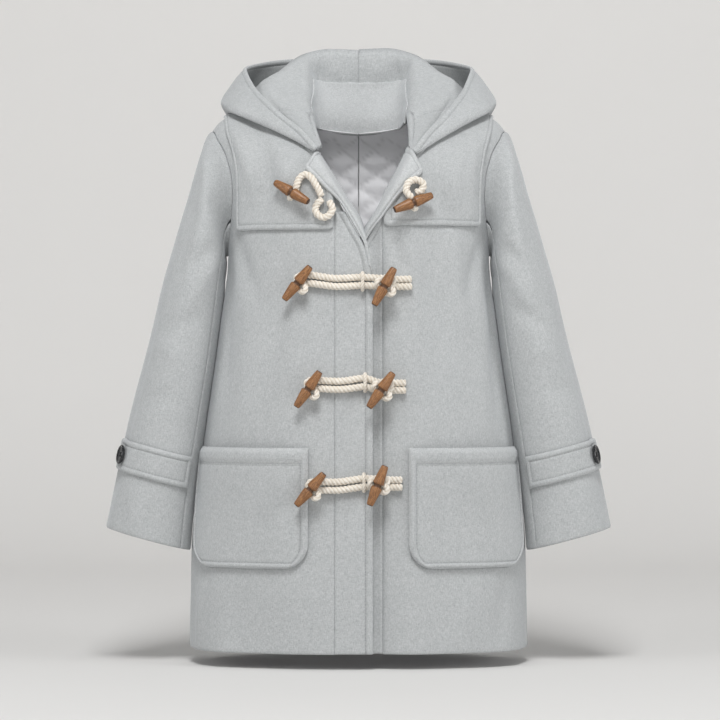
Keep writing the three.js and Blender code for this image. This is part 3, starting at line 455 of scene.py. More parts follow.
# Depth of a set of creases at places on a flat drawing of the piece
def creased(x, y, creases):
    total = np.zeros(np.broadcast(x, y).shape)
    for x0, y0, x1, y1, depth, width in creases:
        runX, runY = x1 - x0, y1 - y0
        size = runX * runX + runY * runY
        t = np.clip(((x - x0) * runX + (y - y0) * runY) / size, 0, 1)
        away = (x - x0 - t * runX) ** 2 + (y - y0 - t * runY) ** 2
        total = total + depth * (0.35 + 0.65 * np.sin(np.pi * t) ** 0.7) * np.exp(-away / width**2)
    return total


# The creases of one side, with their two places brought to millimetres
def creasesOf(sign, creases, acrossMm, upMm):
    return [(x0 * acrossMm, y0 * upMm, x1 * acrossMm, y1 * upMm, deep, wide)
            for side, x0, y0, x1, y1, deep, wide in creases if side in (0, sign)]


def torso(sign, angle, v):
    angle, v = np.broadcast_arrays(np.asarray(angle, float), np.asarray(v, float))
    turn = np.radians(angle)
    across = np.sign(angle) * np.abs(np.sin(turn)) ** cloth["squareness"]
    along = np.abs(np.cos(turn)) ** cloth["squareness"]
    inFront = np.abs(angle) <= 90
    x = halfWidth(v) * across
    base = np.minimum(v, 1)
    depth = np.where(inFront, -bodyFront(base), bodyBack(base))
    y = depth * along
    arc = np.radians(np.maximum(v - 1, 0) * 90)
    fall = np.maximum(np.cos(arc), 0) ** np.where(inFront, 1.6, 0.75)
    y = np.where(v > 1, 3 + (y - 3) * fall, y)
    overChest = front["chest"] + (shoulderRidge(np.abs(x)) - front["chest"]) * np.sin(arc)
    z = np.where(v > 1, overChest, heightOf(base))
    out = np.zeros(angle.shape)
    for place, deep, wide, top in skirtFolds:
        out = out + deep * np.exp(-(((np.abs(angle) - place) / wide) ** 2)) * smooth(top, 0, v)
    # the creases fade out at the front bands, the back seam and the shoulder seam
    calm = smooth(7, 16, np.abs(angle)) * (1 - smooth(172, 179, np.abs(angle))) * (1 - smooth(1.6, 1.95, v))
    folded = creased(np.abs(angle) * skinAngle, z, creasesOf(sign, bodyCreases, skinAngle, 1))
    out = out + np.where(inFront, 2.1, 1.6) * folded * calm
    return np.stack([sign * (x + across * out), y + np.sign(depth) * along * out, z], -1)


def angleOf(x, v):
    part = np.minimum(np.abs(x) / halfWidth(v), 1)
    return np.sign(x) * np.degrees(np.arcsin(part ** (1 / cloth["squareness"])))


def setIn(sign, x, z):
    dip = 3.6 * np.exp(-(((np.asarray(x) - 19) / 10) ** 2)) * smooth(-110, -150, z)
    return -front["underlap"] * smooth(62, 26, x) * smooth(-100, -140, z) - dip if sign > 0 else 0


# A piece follows the right front where that dips under the bands. Places across it may be given
def settled(sign, points, x=None):
    x = np.abs(points[..., 0]) if x is None else x
    points = points.copy()
    points[..., 1] -= setIn(sign, x, points[..., 2])
    return points


# Places on the front, seen from the front and lifted off it
def onFront(x, z, lift):
    def at(px, pz):
        rise = (pz - front["chest"]) / (shoulderRidge(np.abs(px)) - front["chest"])
        high = 1 + np.degrees(np.arcsin(np.clip(rise, 0, 1))) / 90
        v = np.where(pz > front["chest"], high, upWay(pz))
        return torso(1, angleOf(px, v), v)

    x, z = np.asarray(x, float), np.asarray(z, float)
    normal = unit(np.cross(at(x + 1, z) - at(x - 1, z), at(x, z + 1) - at(x, z - 1)))
    return at(x, z) + normal * np.asarray(lift, float)[..., None]


def frontHeight(v):
    return np.where(v <= 1, heightOf(v), front["chest"] + (v - 1) * chestRise)


def frontInner(sign, v):
    edge, seam = frontEdge[sign](frontHeight(v)), front["bandSeam"]
    high = np.where(v >= neckStart["front"], frontNeck[sign](v), np.maximum(seam, edge))
    return np.where(v <= 1, np.maximum(seam, edge + 1), high)


def frontPoint(sign, u, v, clip=0.12):
    outer = np.where(v < armholeFoot, 90 - clip, armholeFront(v) - clip)
    return settled(sign, torso(sign, mix(angleOf(frontInner(sign, v), v), outer, u), v))


def backPoint(sign, u, v, clip=0.12):
    inner = np.where(v > neckStart["back"], angleOf(neckBack(v), v), 0)
    outer = np.where(v < armholeFoot, 90 - clip, armholeBack(v) - clip)
    return torso(sign, 180 - mix(np.maximum(inner, clip), outer, u), v)


fineEdge = np.array([0, 0.5, 1.2, 2.2, 3.6, 4.9, 5.8, 6.6, 7.4, 8.4, 10, 12])
fineSeam = np.array([0, 0.6, 1.4, 2.8])


# Places along a length in millimetres, close together at a finished edge or a seam
def places(length, low, high, count):
    ends = []
    for kind in (low, high):
        near = {"edge": fineEdge, "seam": fineSeam}.get(kind, np.array([0.0]))
        ends.append(near * min(1, 0.4 * length / max(near[-1], 1)))
    middle = np.linspace(ends[0][-1], length - ends[1][-1], count + 1)
    return np.concatenate([ends[0][:-1], middle, (length - ends[1][::-1])[1:]])


# Millimetres of cloth from the hem: up to the chest line, and for each step of v over it
drape = {"skirt": 530, "chest": 140}


def drapeUp(v):
    return np.where(v <= 1, drape["skirt"] * v, drape["skirt"] + drape["chest"] * (v - 1))


def rowsUp(low, high, lowKind, highKind, step):
    start, end = drapeUp(low), drapeUp(high)
    up = places(end - start, lowKind, highKind, int((end - start) / step)) + start
    v = np.where(up <= drape["skirt"], up / drape["skirt"], 1 + (up - drape["skirt"]) / drape["chest"])
    return v, up - start


farFromEdge = 99.0


# A grid over a piece: its points, its distance from finished edges and from seams, and its places
def grid(pointAt, rows, rowMm, kinds, step):
    probe = pointAt(np.linspace(0, 1, 15)[None, :], rows[:, None])
    widths = steps(probe, 1).sum(-1)
    count = max(3, int(np.median(widths) / step))
    across = np.array([places(width, kinds["low"], kinds["high"], count) for width in widths])
    points = pointAt(across / widths[:, None], rows[:, None])
    size = points.shape[:2]
    up = np.broadcast_to(rowMm[:, None], size)
    reach = {"low": across, "high": widths[:, None] - across, "bottom": up, "top": rowMm[-1] - up}
    part = {"points": points, "across": across, "up": up, "along": np.zeros(size)}
    part["edge"], part["seam"] = np.full(size, farFromEdge), np.full(size, farFromEdge)
    for way, kind in kinds.items():
        if kind == "edge":
            beside = up if way in ("low", "high") else across
            part["along"] = np.where(reach[way] < part["edge"], beside, part["along"])
        if kind:
            part[kind] = np.minimum(part[kind], reach[way])
    return part


# A mesh as a piece of the coat, in place of a node where it has one
def finishedPiece(name, mesh, material, node):
    piece = placed(name, mesh)
    mesh.materials.clear()
    mesh.materials.append(material)
    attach(piece, "root")
    if node:
        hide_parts(node)
    return piece


def gridNormals(points, facing):
    normals = np.cross(np.gradient(points, axis=1), np.gradient(points, axis=0))
    length = np.linalg.norm(normals, axis=-1, keepdims=True)
    return facing * normals / np.maximum(length, 1e-9)


# How far the outer face stands: round at the edge, a soft ridge, and a ditch where it is stitched
def edgeLift(edge, seam):
    lift = -1.0 * (1 - smooth(0, 1.7, edge)) + 0.55 * smooth(0.3, 2.6, edge) * (1 - smooth(4.6, 6.4, edge))
    lift = lift - 0.75 * np.exp(-((edge - stitching["inset"]) ** 2))
    return lift - 0.9 * np.exp(-((seam / 1.1) ** 2))


# A closed piece of cloth in place of a node, between two offsets from a grid
def closedWall(node, part, out, inn, facing, material, extraOut=0, extraIn=0):
    words = node.split("_")
    name = words[0] + "".join(word.capitalize() for word in words[1:]) + "Cloth"
    points = part["points"]
    normals = gridNormals(points, facing)
    rim = 0.9 * (1 - smooth(0, 1.5, part["edge"]))
    outer = points + normals * (out + edgeLift(part["edge"], part["seam"]) + extraOut)[..., None]
    inner = points + normals * (inn + rim + extraIn)[..., None]
    rows, columns = points.shape[:2]
    vertices = np.concatenate([outer.reshape(-1, 3), inner.reshape(-1, 3)]) / 1000
    index = np.arange(rows * columns).reshape(rows, columns)
    a, b, c, d = index[:-1, :-1], index[:-1, 1:], index[1:, 1:], index[1:, :-1]
    top = np.stack([a, b, c, d], -1).reshape(-1, 4)
    under = np.stack([a, d, c, b], -1).reshape(-1, 4) + rows * columns
    ring = np.concatenate([index[0, :], index[1:, -1], index[-1, -2::-1], index[-2:0:-1, 0]])
    after = np.roll(ring, -1)
    rimFaces = np.stack([after, ring, ring + rows * columns, after + rows * columns], -1)
    faces = np.concatenate([top, under, rimFaces])
    quad = vertices[faces]
    volume = np.einsum("ij,ij->i", quad[:, 0], np.cross(quad[:, 1], quad[:, 2])).sum()
    volume += np.einsum("ij,ij->i", quad[:, 0], np.cross(quad[:, 2], quad[:, 3])).sum()
    if volume < 0:
        faces = faces[:, ::-1]
    mesh = newMesh(name, vertices.tolist(), faces.tolist())
    for key in ("edge", "along", "quilt"):
        if key in part:
            carry(mesh, key, [part[key], part[key]])
    piece = finishedPiece(name, mesh, material, node)
    middle = (outer + inner) / 2
    width = steps(middle, 1).sum(-1).max() / 1000
    length = steps(middle, 0).sum(0).max() / 1000
    side1, side2 = middle[:-1, 1:] - middle[:-1, :-1], middle[1:, :-1] - middle[:-1, :-1]
    area = np.linalg.norm(np.cross(side1, side2), axis=-1).sum() / 1e6
    area = min(area, width * length)


def allRound(kind):
    return {"low": kind, "high": kind, "bottom": kind, "top": kind}


def makeBody(name, sign, wool):
    rows, mm = rowsUp(0, 1.985, "seam", "seam", 4.2)
    part = grid(lambda u, v: frontPoint(sign, u, v, 0.02), rows, mm, allRound("seam"), 3.8)
    closedWall("front_" + name, part, 0, -cloth["wool"], sign, wool)
    part = grid(lambda u, v: backPoint(sign, u, v, 0.02), rows, mm, allRound("seam"), 3.8)
    closedWall("back_" + name, part, 0, -cloth["wool"], -sign, wool)


def makeBand(name, sign, wool):
    def pointAt(u, v):
        edge = frontEdge[sign](heightOf(v))
        x = mix(front["bandSeam"] - 0.05, np.minimum(edge, front["bandSeam"] - 3.5), u)
        return settled(sign, torso(sign, angleOf(x, v), v), x)

    rows, mm = rowsUp(0.001, 0.96, "seam", None, 4.0)
    part = grid(pointAt, rows, mm, {"low": "seam", "high": "edge", "bottom": "seam"}, 2.6)
    part["edge"] = part["edge"] * 0.8  # the front edge is stitched a little further in
    strip = 0.9 * (1 - smooth(4.4, 6.2, part["edge"])) if sign < 0 else 0
    closedWall("front_band_" + name, part, 0.4, -cloth["wool"], -sign, wool, extraOut=strip)


facingTop = 1.345


def makeFacing(name, sign, facing):
    def pointAt(u, v):
        edge = frontEdge[sign](frontHeight(v)) + 1.2
        x = mix(edge, edge + mix(44, 24, smooth(0.9, 1.35, v)), u)
        return settled(sign, torso(sign, angleOf(x, v), v), x)

    rows, mm = rowsUp(0.012, facingTop, None, None, 5.0)
    part = grid(pointAt, rows, mm, {"low": None, "high": None}, 4.0)
    top = -cloth["wool"] - 1.2
    closedWall("facing_" + name, part, top, top - cloth["facing"], sign, facing)


# The turned-out edge of each front: way up, inner border (x, z), outer edge (x, z), height over the front
lapelRows = {
    -1: table([
        (0, -12, -160, -14.6, -168.5, 0.2), (0.17, -8.6, -137.5, -10.2, -145.5, 0.5),
        (0.33, -2.9, -110.3, 2.4, -122.5, 1.2), (0.55, 16.7, -79.5, 21.0, -91.5, 3.0),
        (0.75, 32.0, -51, 42, -71.3, 5.8), (0.9, 41.5, -34, 54.5, -59.3, 7.2),
        (0.965, 45, -27, 59.6, -54.8, 7.5), (1, 46.5, -24, 60.4, -50.6, 7.5)]),
    1: table([
        (0, -9, -151, -4.5, -159, 0.2), (0.2, 0.5, -135, 3.4, -143.5, 0.5),
        (0.38, 7, -119.5, 14.5, -124, 1.4), (0.55, 20, -100.5, 28.6, -106, 3.4),
        (0.72, 35.5, -70, 48.9, -79.5, 6.2), (0.86, 46, -47, 62, -66, 7.2),
        (0.96, 55.5, -24, 70.6, -58.2, 7.5), (1, 59.5, -15, 71.6, -54.0, 7.5)])}
lapelLength = 165


def makeLapel(name, sign, facing):
    def pointAt(c, r):
        c, r = np.broadcast_arrays(c, r)
        innerX, innerZ, outerX, outerZ, high = [column(r) for column in lapelRows[sign]]
        x, z = mix(innerX, outerX, c), mix(innerZ, outerZ, c)
        x = x - 2.5 * np.sin(np.pi * c) * smooth(0.5, 0.9, r)
        lift = -13 + (14.2 + high) * smooth(-0.25, 0.55, c) ** 1.3 - 1.2 * smooth(0.5, 1, c)
        points = onFront(x, z, lift)
        points[..., 0] *= sign
        return settled(sign, points)

    up = places(lapelLength, None, "edge", 52)
    part = grid(pointAt, up / lapelLength, up, {"low": None, "high": "edge", "top": "edge"}, 2.0)
    closedWall("lapel_" + name, part, 1.5, -1.3, sign, facing)


quilting = {"spacing": 31.0, "slope": 0.86, "puff": 1.9}


def quilted(part):
    points = part["points"]
    turn = np.degrees(np.arctan2(np.abs(points[..., 0]) / 190, np.abs(points[..., 1]) / 105))
    across, up = turn * 2.3, points[..., 2]
    lines = []
    for way in (1, -1):
        step = (up + way * across * quilting["slope"]) / quilting["spacing"]
        lines.append(np.abs(step - np.round(step)) * quilting["spacing"])
    near = np.minimum(*lines)
    # nearness to a quilting line, which the lining's material darkens as painted shade
    part["quilt"] = np.exp(-((near / 1.3) ** 2))
    return quilting["puff"] * (1 - np.exp(-((near / 5.0) ** 2)))


def makeLining(name, sign, satin):
    top = -cloth["wool"] - 1.7
    low = top - cloth["lining"] + 0.6
    stop = 0.063  # the back lining ends this far in v under the neck's edge

    def behind(u, v):
        inner = np.where(v > neckStart["back"] + stop, angleOf(neckBack(v - stop), v), 0.05)
        outer = np.where(v < armholeFoot, 90 - 0.35, armholeBack(v) - 0.35)
        return torso(sign, 180 - mix(np.maximum(inner, 0.05), outer, u), v)

    rows, mm = rowsUp(0.045, 1.98, None, None, 4.2)
    part = grid(behind, rows, mm, {"low": "seam", "high": None}, 3.8)
    puff = quilted(part) * (0.75 + 0.25 * smooth(0, 6, part["across"]))
    puff = puff * (1 - smooth(-34, -12, part["points"][..., 2]))
    closedWall("lining_back_" + name, part, top, low, -sign, satin, extraIn=-puff)

    def pointAt(u, v):
        edge = np.where(v > facingTop, frontInner(sign, v) + 3, frontEdge[sign](frontHeight(v)) + 2)
        inner = angleOf(np.maximum(edge + mix(46.5, 27, smooth(0.9, 1.35, v)), 31), v)
        outer = np.where(v < armholeFoot, 90 - 0.9, armholeFront(v) - 0.9)
        return settled(sign, torso(sign, mix(inner, outer, u), v))

    rows, mm = rowsUp(0.045, 1.98, None, None, 4.4)
    part = grid(pointAt, rows, mm, {"low": None, "high": None}, 4.2)
    puff = quilted(part) * smooth(0, 5, part["across"])
    closedWall("lining_front_" + name, part, top, low, sign, satin, extraIn=-puff)


# How far a rounded corner cuts in at a height above its lower edge
def cornerCut(up, radius):
    over = np.maximum(radius - up, 0)
    return radius - np.sqrt(np.maximum(radius * radius - over * over, 0))


def makeYoke(name, sign, wool):
    bottom = upWay(-122 if sign < 0 else -117)

    def pointAt(u, v):
        cut = cornerCut((v - bottom) * drape["skirt"], 7.0)
        inner = angleOf(frontInner(sign, v) + mix(1.6, 7, smooth(1.25, 1.38, v)) + cut * 0.8, v)
        outer = mix(64, 61, smooth(0.95, 1.4, v)) - cut / 1.9
        return settled(sign, torso(sign, mix(inner, outer, u), v))

    rows, mm = rowsUp(float(bottom), 1.97, "edge", "seam", 3.6)
    part = grid(pointAt, rows, mm, {"low": "edge", "high": "edge", "bottom": "edge", "top": "seam"}, 3.4)
    gap = cloth["skinGap"]
    closedWall("yoke_" + name, part, gap + cloth["wool"], gap, sign, wool)


def makePocket(name, sign, wool):
    size = {"top": -373.0, "bottom": -512.0, "radius": 29.0, "inner": 57.5, "mouth": 8.5}

    def pointAt(u, z):
        u, z = np.broadcast_arrays(u, z)
        v = upWay(z)
        cut = cornerCut(z - size["bottom"], size["radius"])
        side = mix(76, 72.5, smooth(size["top"], size["bottom"], z))
        reach = halfWidth(v) * np.sin(np.radians(side)) ** cloth["squareness"]
        angle = mix(angleOf(size["inner"] + cut, v), angleOf(reach - cut * 0.85, v), u)
        mouth = smooth(size["bottom"] + 40, size["top"], z) * np.sin(np.pi * np.clip(u, 0, 1)) ** 0.8
        out = cloth["skinGap"] + 0.7 + size["mouth"] * mouth
        points = torso(sign, angle, v).copy()
        points[..., 0] += sign * np.sin(np.radians(angle)) * out
        points[..., 1] -= np.cos(np.radians(angle)) * out
        return points

    up = places(size["top"] - size["bottom"], "edge", "edge", 34)
    part = grid(pointAt, up + size["bottom"], up, {"low": "edge", "high": "edge", "bottom": "edge"}, 3.4)
    # the mouth's hem is deeper than the other edges
    part["edge"] = np.minimum(part["edge"], np.maximum(up[-1] - up, 0)[:, None] * 0.36)
    ridge = 0.9 * smooth(0.3, 2.4, part["edge"]) * (1 - smooth(4.8, 6.3, part["edge"]))
    closedWall("pocket_" + name, part, cloth["wool"], 0, sign, wool, extraOut=ridge)


# Drop from the shoulder: outer side (x, z), inner side (x, z), depth ahead and behind, y of the middle
sleeveColumns = table([
    (1, 173.6, -1, 154, -150, 42, 46, 2), (22, 184, -22, 155.5, -157, 52, 54, 1),
    (47, 192, -47, 156, -163, 58, 58, 0), (76, 200, -76, 156.5, -169, 61, 60, -1),
    (106, 209, -106, 157.5, -177, 62, 60, -2), (142, 219.5, -142, 158, -190, 61, 59, -3),
    (182, 231, -182, 160, -212, 60, 58, -5), (236, 243.5, -236, 165, -256, 58, 56, -7),
    (343, 271, -343, 181, -366, 52, 51, -12), (405, 284.5, -405, 190, -430, 48, 47, -15),
    (468, 297, -468, 196.5, -495, 44, 44, -18)])
# Broad folds of the sleeves: angle, drop, depth, width in degrees, length
sleeveFolds = [(60, 150, -3.5, 16, 90), (100, 250, 3.0, 16, 110), (25, 300, -3.0, 14, 90),
               (-60, 200, -3.5, 18, 100), (-100, 330, 3.0, 16, 90)]
# Creases of the sleeves: side, from (angle, drop), to (angle, drop), depth, width
sleeveCreases = [
    (0, 118, 60, 84, 150, -2.0, 11), (0, 128, 96, 96, 190, 1.3, 11), (-1, 40, 20, 48, 120, -1.4, 12),
    (1, 46, 24, 40, 130, -1.6, 12), (-1, 112, 205, 62, 236, -1.5, 11), (1, 116, 190, 70, 228, -1.7, 11),
    (-1, 100, 262, 40, 250, 1.2, 11), (1, 104, 250, 52, 262, 1.2, 11), (-1, 96, 300, 50, 318, -1.3, 12),
    (1, 88, 292, 44, 304, -1.1, 12), (0, -118, 70, -86, 160, -2.2, 12), (-1, -130, 190, -60, 225, -2.4, 13),
    (1, -126, 200, -66, 240, -2.2, 13), (-1, -120, 255, -52, 262, 1.7, 13), (1, -116, 262, -60, 280, 1.6, 13),
    (0, -110, 306, -60, 322, -1.8, 13), (-1, 20, 330, 14, 455, -1.3, 13), (1, 18, 345, 24, 460, -1.3, 13),
    (0, 66, 410, 70, 466, 1.2, 13), (0, -60, 380, -66, 466, -1.6, 14)]
seamAngles = {"fore": 140, "hind": 230}
sleeve = {"squareness": 0.93, "long": 467, "skinAngle": 1.05, "headDrop": 30}


# For each angle round the armhole, the v at which the body's edge is seen that way
def armholeTable(sign):
    angles = np.arange(0, 361, 2.0)
    inFront = angles <= 180
    target = np.where(inFront, angles, 360 - angles)
    low, high = np.full(angles.shape, armholeFoot), np.full(angles.shape, 1.985)
    for step in range(26):
        v = (low + high) / 2
        edge = np.where(inFront[:, None], frontPoint(sign, 1, v, 0), backPoint(sign, 1, v, 0))
        seen = np.degrees(np.arctan2(np.abs(edge[:, 1] - 2), edge[:, 2] + 75))
        low, high = np.where(seen > target, v, low), np.where(seen > target, high, v)
    return angles, (low + high) / 2


armholes = {sign: armholeTable(sign) for sign in (-1, 1)}


def armholePoint(sign, angle):
    angle = np.mod(angle, 360)
    v = np.interp(angle, *armholes[sign])
    return np.where((angle <= 180)[..., None], frontPoint(sign, 1, v, 0), backPoint(sign, 1, v, 0))


def sleevePoint(sign, angle, drop):
    angle, drop = np.broadcast_arrays(np.asarray(angle, float), np.asarray(drop, float))
    turn = np.radians(angle)
    outerX, outerZ, innerX, innerZ, ahead, behind, middleY = [column(drop) for column in sleeveColumns]
    outward = np.sign(np.cos(turn)) * np.abs(np.cos(turn)) ** sleeve["squareness"]
    forward = np.sign(np.sin(turn)) * np.abs(np.sin(turn)) ** sleeve["squareness"]
    x = (outerX + innerX) / 2 + (outerX - innerX) / 2 * outward
    z = (outerZ + innerZ) / 2 + (outerZ - innerZ) / 2 * outward
    y = middleY - forward * np.where(forward > 0, ahead, behind)
    for place, low, deep, wide, long in sleeveFolds:
        around = np.mod(angle - place + 540, 360) - 180
        x = x + deep * np.exp(-((around / wide) ** 2) - ((drop - low) / long) ** 2)
    mine = creasesOf(sign, sleeveCreases, sleeve["skinAngle"], 1)
    around = np.mod(angle + 180, 360) - 180
    out = 1.6 * creased(around * sleeve["skinAngle"], drop, mine) * smooth(12, 50, drop)
    x = x + out * np.cos(turn)
    y = y - out * np.sin(turn)
    # under the arm the sleeve lies beside the body and not in it
    v = upWay(z)
    deep = np.where(y < 0, bodyFront(np.clip(v, 0, 1)), bodyBack(np.clip(v, 0, 1))) + 4
    part = np.maximum(1 - (np.abs(y) / deep) ** (2 / cloth["squareness"]), 0)
    clear = halfWidth(np.clip(v, 0, 1)) * part ** (cloth["squareness"] / 2) + 0.2 + 2.2 * smooth(0.45, 0, v)
    x = np.where(z < -148, np.maximum(x, clear), x)
    points = np.stack([sign * x, y, z], -1)
    head = (1 - smooth(1, sleeve["headDrop"], drop))[..., None]
    edge = armholePoint(sign, angle)
    edge[..., 0] += sign * (0.42 * np.maximum(drop - 1, 0) - 0.7)
    return points * (1 - head) + edge * head


def makeSleeve(name, sign, wool):
    down = places(sleeve["long"], "seam", "seam", 112) + 1
    fore, hind = seamAngles["fore"], seamAngles["hind"]
    for panel, start, end in (("upper", hind - 360, fore), ("under", fore, hind)):
        def pointAt(u, drop):
            angle = mix(start + 0.3, end - 0.3, u)
            narrowed = mix(angle, (start + end) / 2, 0.018 * (1 - smooth(1, sleeve["headDrop"], drop)))
            return sleevePoint(sign, narrowed, drop)

        part = grid(pointAt, down, down - 1, allRound("seam"), 3.8)
        closedWall(f"sleeve_{panel}_{name}", part, 0, -cloth["wool"], sign, wool)


tab = {"top": 364.0, "bottom": 400.0, "end": 6.0, "button": 32.0}


def makeCuffTab(name, sign, wool):
    def pointAt(u, drop):
        middle = (tab["top"] + tab["bottom"]) / 2
        away = (tab["bottom"] - tab["top"]) / 2 - np.abs(drop - middle)
        end = tab["end"] + cornerCut(away, 5.0) * 0.95
        return sleevePoint(sign, mix(end, seamAngles["fore"] - 3, u), drop)

    down = places(tab["bottom"] - tab["top"], "edge", "edge", 6)
    part = grid(pointAt, down + tab["top"], down, allRound("edge"), 3.2)
    gap = cloth["skinGap"]
    closedWall("cuff_tab_" + name, part, gap + cloth["wool"], gap, sign, wool)


# Lines that run round the hood, from the middle of the back, w = 0, to the front, w = 1: w, x, y, z
hoodRoll = table([
    (0.0, 0, 77, 102), (0.18, 34, 75.5, 103), (0.34, 66, 68, 95), (0.5, 94, 45, 73), (0.6, 110, 26, 59),
    (0.7, 108, 0, 41), (0.82, 84, -32, 10), (0.92, 61, -59, -12), (1.0, 47.5, -75, -27)])
hoodBase = table([
    (0.0, 0, 124, -85), (0.18, 48, 118, -76), (0.34, 94, 102, -48), (0.5, 138, 68, -6), (0.6, 156, 34, 21),
    (0.7, 153, -8, 20), (0.82, 113, -44, 2), (0.92, 76, -65, -16.5), (1.0, 52, -80, -31)])
hoodRim = table([
    (0.0, 0, 154, 100), (0.18, 44, 151, 99), (0.34, 82, 134, 97), (0.5, 122, 92, 88), (0.6, 135.5, 54, 79),
    (0.7, 124.5, 8, 55), (0.82, 94, -44, 20), (0.92, 64, -67, -6), (1.0, 48, -81, -25)])
# The inner crest, where the stand ends and the hood turns outward
hoodCrest = table([
    (0.0, 0, 79, 54), (0.18, 34, 75, 57), (0.27, 53, 67, 68), (0.34, 59.5, 55, 75), (0.42, 60.5, 39, 62),
    (0.5, 60.5, 24, 50), (0.6, 60, 3, 35), (0.7, 58.5, -19, 18), (0.82, 54.5, -42, 0),
    (0.92, 50.5, -60, -15), (1.0, 46.5, -74, -27.5)])
# w, and the body's v at the neck there
neckWay, = table([
    (0, neckStart["back"]), (0.18, 1.645), (0.34, 1.725), (0.44, 1.81), (0.52, 1.98), (0.6, 1.9), (0.7, 1.76),
    (0.82, 1.61), (0.92, 1.47), (1, 1.37)])
hood = {"share": 0.27, "round": 330, "fine": 361, "seamHeight": 63}


# A smooth curve through points, evenly shared among the stretches between them
def spline(points, t):
    points = np.asarray(points, float)
    last = len(points) - 1
    place = np.clip(t, 0, 1) * last
    i = np.minimum(np.floor(place).astype(int), last - 1)
    w = (place - i)[..., None]
    full = np.concatenate([[2 * points[0] - points[1]], points, [2 * points[-1] - points[-2]]])
    p0, p1, p2, p3 = (full[i + k] for k in range(4))
    pairs = ((p0, p1), (p1, p2), (p2, p3))
    gaps = [np.maximum(np.linalg.norm(b - a, axis=-1, keepdims=True), 1e-6) ** 0.5 for a, b in pairs]
    t1 = ((p1 - p0) / gaps[0] - (p2 - p0) / (gaps[0] + gaps[1]) + (p2 - p1) / gaps[1]) * gaps[1]
    t2 = ((p2 - p1) / gaps[1] - (p3 - p1) / (gaps[1] + gaps[2]) + (p3 - p2) / gaps[2]) * gaps[1]
    return p1 + t1 * w + (3 * p2 - 3 * p1 - 2 * t1 - t2) * w**2 + (2 * p1 - 2 * p2 + t1 + t2) * w**3


def hoodProfile(sign, w):
    v = neckWay(w)
    neck = backPoint(sign, 0, v, 0) if w < 0.52 else frontPoint(sign, 0, v, 0)
    neck = neck * [sign, 1, 1]
    inward = np.array([-neck[0], 4 - neck[1], 0])
    neck = neck + inward / np.linalg.norm(inward) * (cloth["wool"] + 0.6) + [0, 0, 0.5]
    lines = (hoodRoll, hoodBase, hoodRim, hoodCrest)
    roll, base, rim, crest = (np.array([float(column(w)) for column in line]) for line in lines)
    if sign > 0:
        for point in (roll, base, rim, crest):
            point += np.array([15, 0, -3]) * float(smooth(0.62, 1, w))
        crest[0] += 3 * float(smooth(0.2, 0.34, w) * smooth(0.95, 0.7, w))
    deep = float(1 - smooth(0.45, 0.95, w))
    stand = mix(neck, roll, 0.06)
    stand[2] = neck[2] + mix(12, 4, smooth(0.8, 1, w))
    facet = mix(crest, roll, 0.5) + [0, -1.5 * deep, 1.5]
    nearRoll = mix(crest, roll, 0.92) + [0, 0, 0.8]
    fall = mix(roll, base, 0.35) + [0, 3 * deep, 0]
    overRoll = mix(roll, fall, 0.12) + [0, 0, 0.4]
    low = mix(roll, base, 0.8) + [0, -7 * deep, -2 * deep]
    outward = np.array([base[0], base[1] - 20, 0])
    outward /= np.linalg.norm(outward)
    wallLow = mix(base, rim, 0.25) + outward * (17 * deep + 1.5)
    wallHigh = mix(base, rim, 0.65) + outward * (13 * deep + 1)
    top = roll - [0, 0, 1.2]
    return [neck, stand, crest, facet, nearRoll, top, overRoll, fall, low, base, wallLow, wallHigh, rim]


hoodLines = {}


# A line from the neck to the rim, how far along it each place is, and where its crest and its roll are.
# The profile's 13 points share the line evenly, so the crest is its point 2 and the roll its point 5
def hoodLine(sign, w):
    key = (sign, round(w, 5))
    if key not in hoodLines:
        line = spline(hoodProfile(sign, w), np.linspace(0, 1, hood["fine"]))
        travel = travelled(line)
        apart = (hood["fine"] - 1) // 12
        hoodLines[key] = line, travel, travel[2 * apart], travel[5 * apart]
    return hoodLines[key]


# Places on the hood: w the way round, and t from the neck to the rim as a share or in millimetres
def hoodPoint(sign, t, w, inMm=False):
    t, w = np.broadcast_arrays(np.asarray(t, float), np.asarray(w, float))
    rows = []
    for row, ts in zip(w, t):
        line, travel, _, roll = hoodLine(sign, float(row[0]))
        at = ts
        if not inMm:
            at = np.interp(ts, [0, hood["share"], 1], [0, roll, travel[-1]])
            at[np.argmin(np.abs(at - roll))] = roll  # one column runs along the roll itself
        rows.append(np.stack([np.interp(at, travel, line[:, k]) for k in range(3)], -1))
    return np.array(rows) * [sign, 1, 1]


# Creases of the hood: side, from (way round, way up), to (way round, way up), depth, width in millimetres
hoodCreases = [
    (0, 0.245, 0.12, 0.225, 0.20, 3.4, 8), (0, 0.09, 0.12, 0.14, 0.17, -1.2, 8),
    (-1, 0.50, 0.13, 0.57, 0.18, 1.2, 11), (1, 0.52, 0.12, 0.60, 0.17, -1.3, 12),
    (-1, 0.70, 0.09, 0.66, 0.13, 1.0, 9), (-1, 0.12, 0.66, 0.20, 0.88, -3.0, 15),
    (1, 0.10, 0.70, 0.24, 0.86, -2.8, 15), (0, 0.40, 0.66, 0.42, 0.86, 2.0, 16),
    (0, 0.56, 0.70, 0.60, 0.92, -1.8, 14)]
crossingSeam = {"from": 242, "to": 280, "step": 1.1}


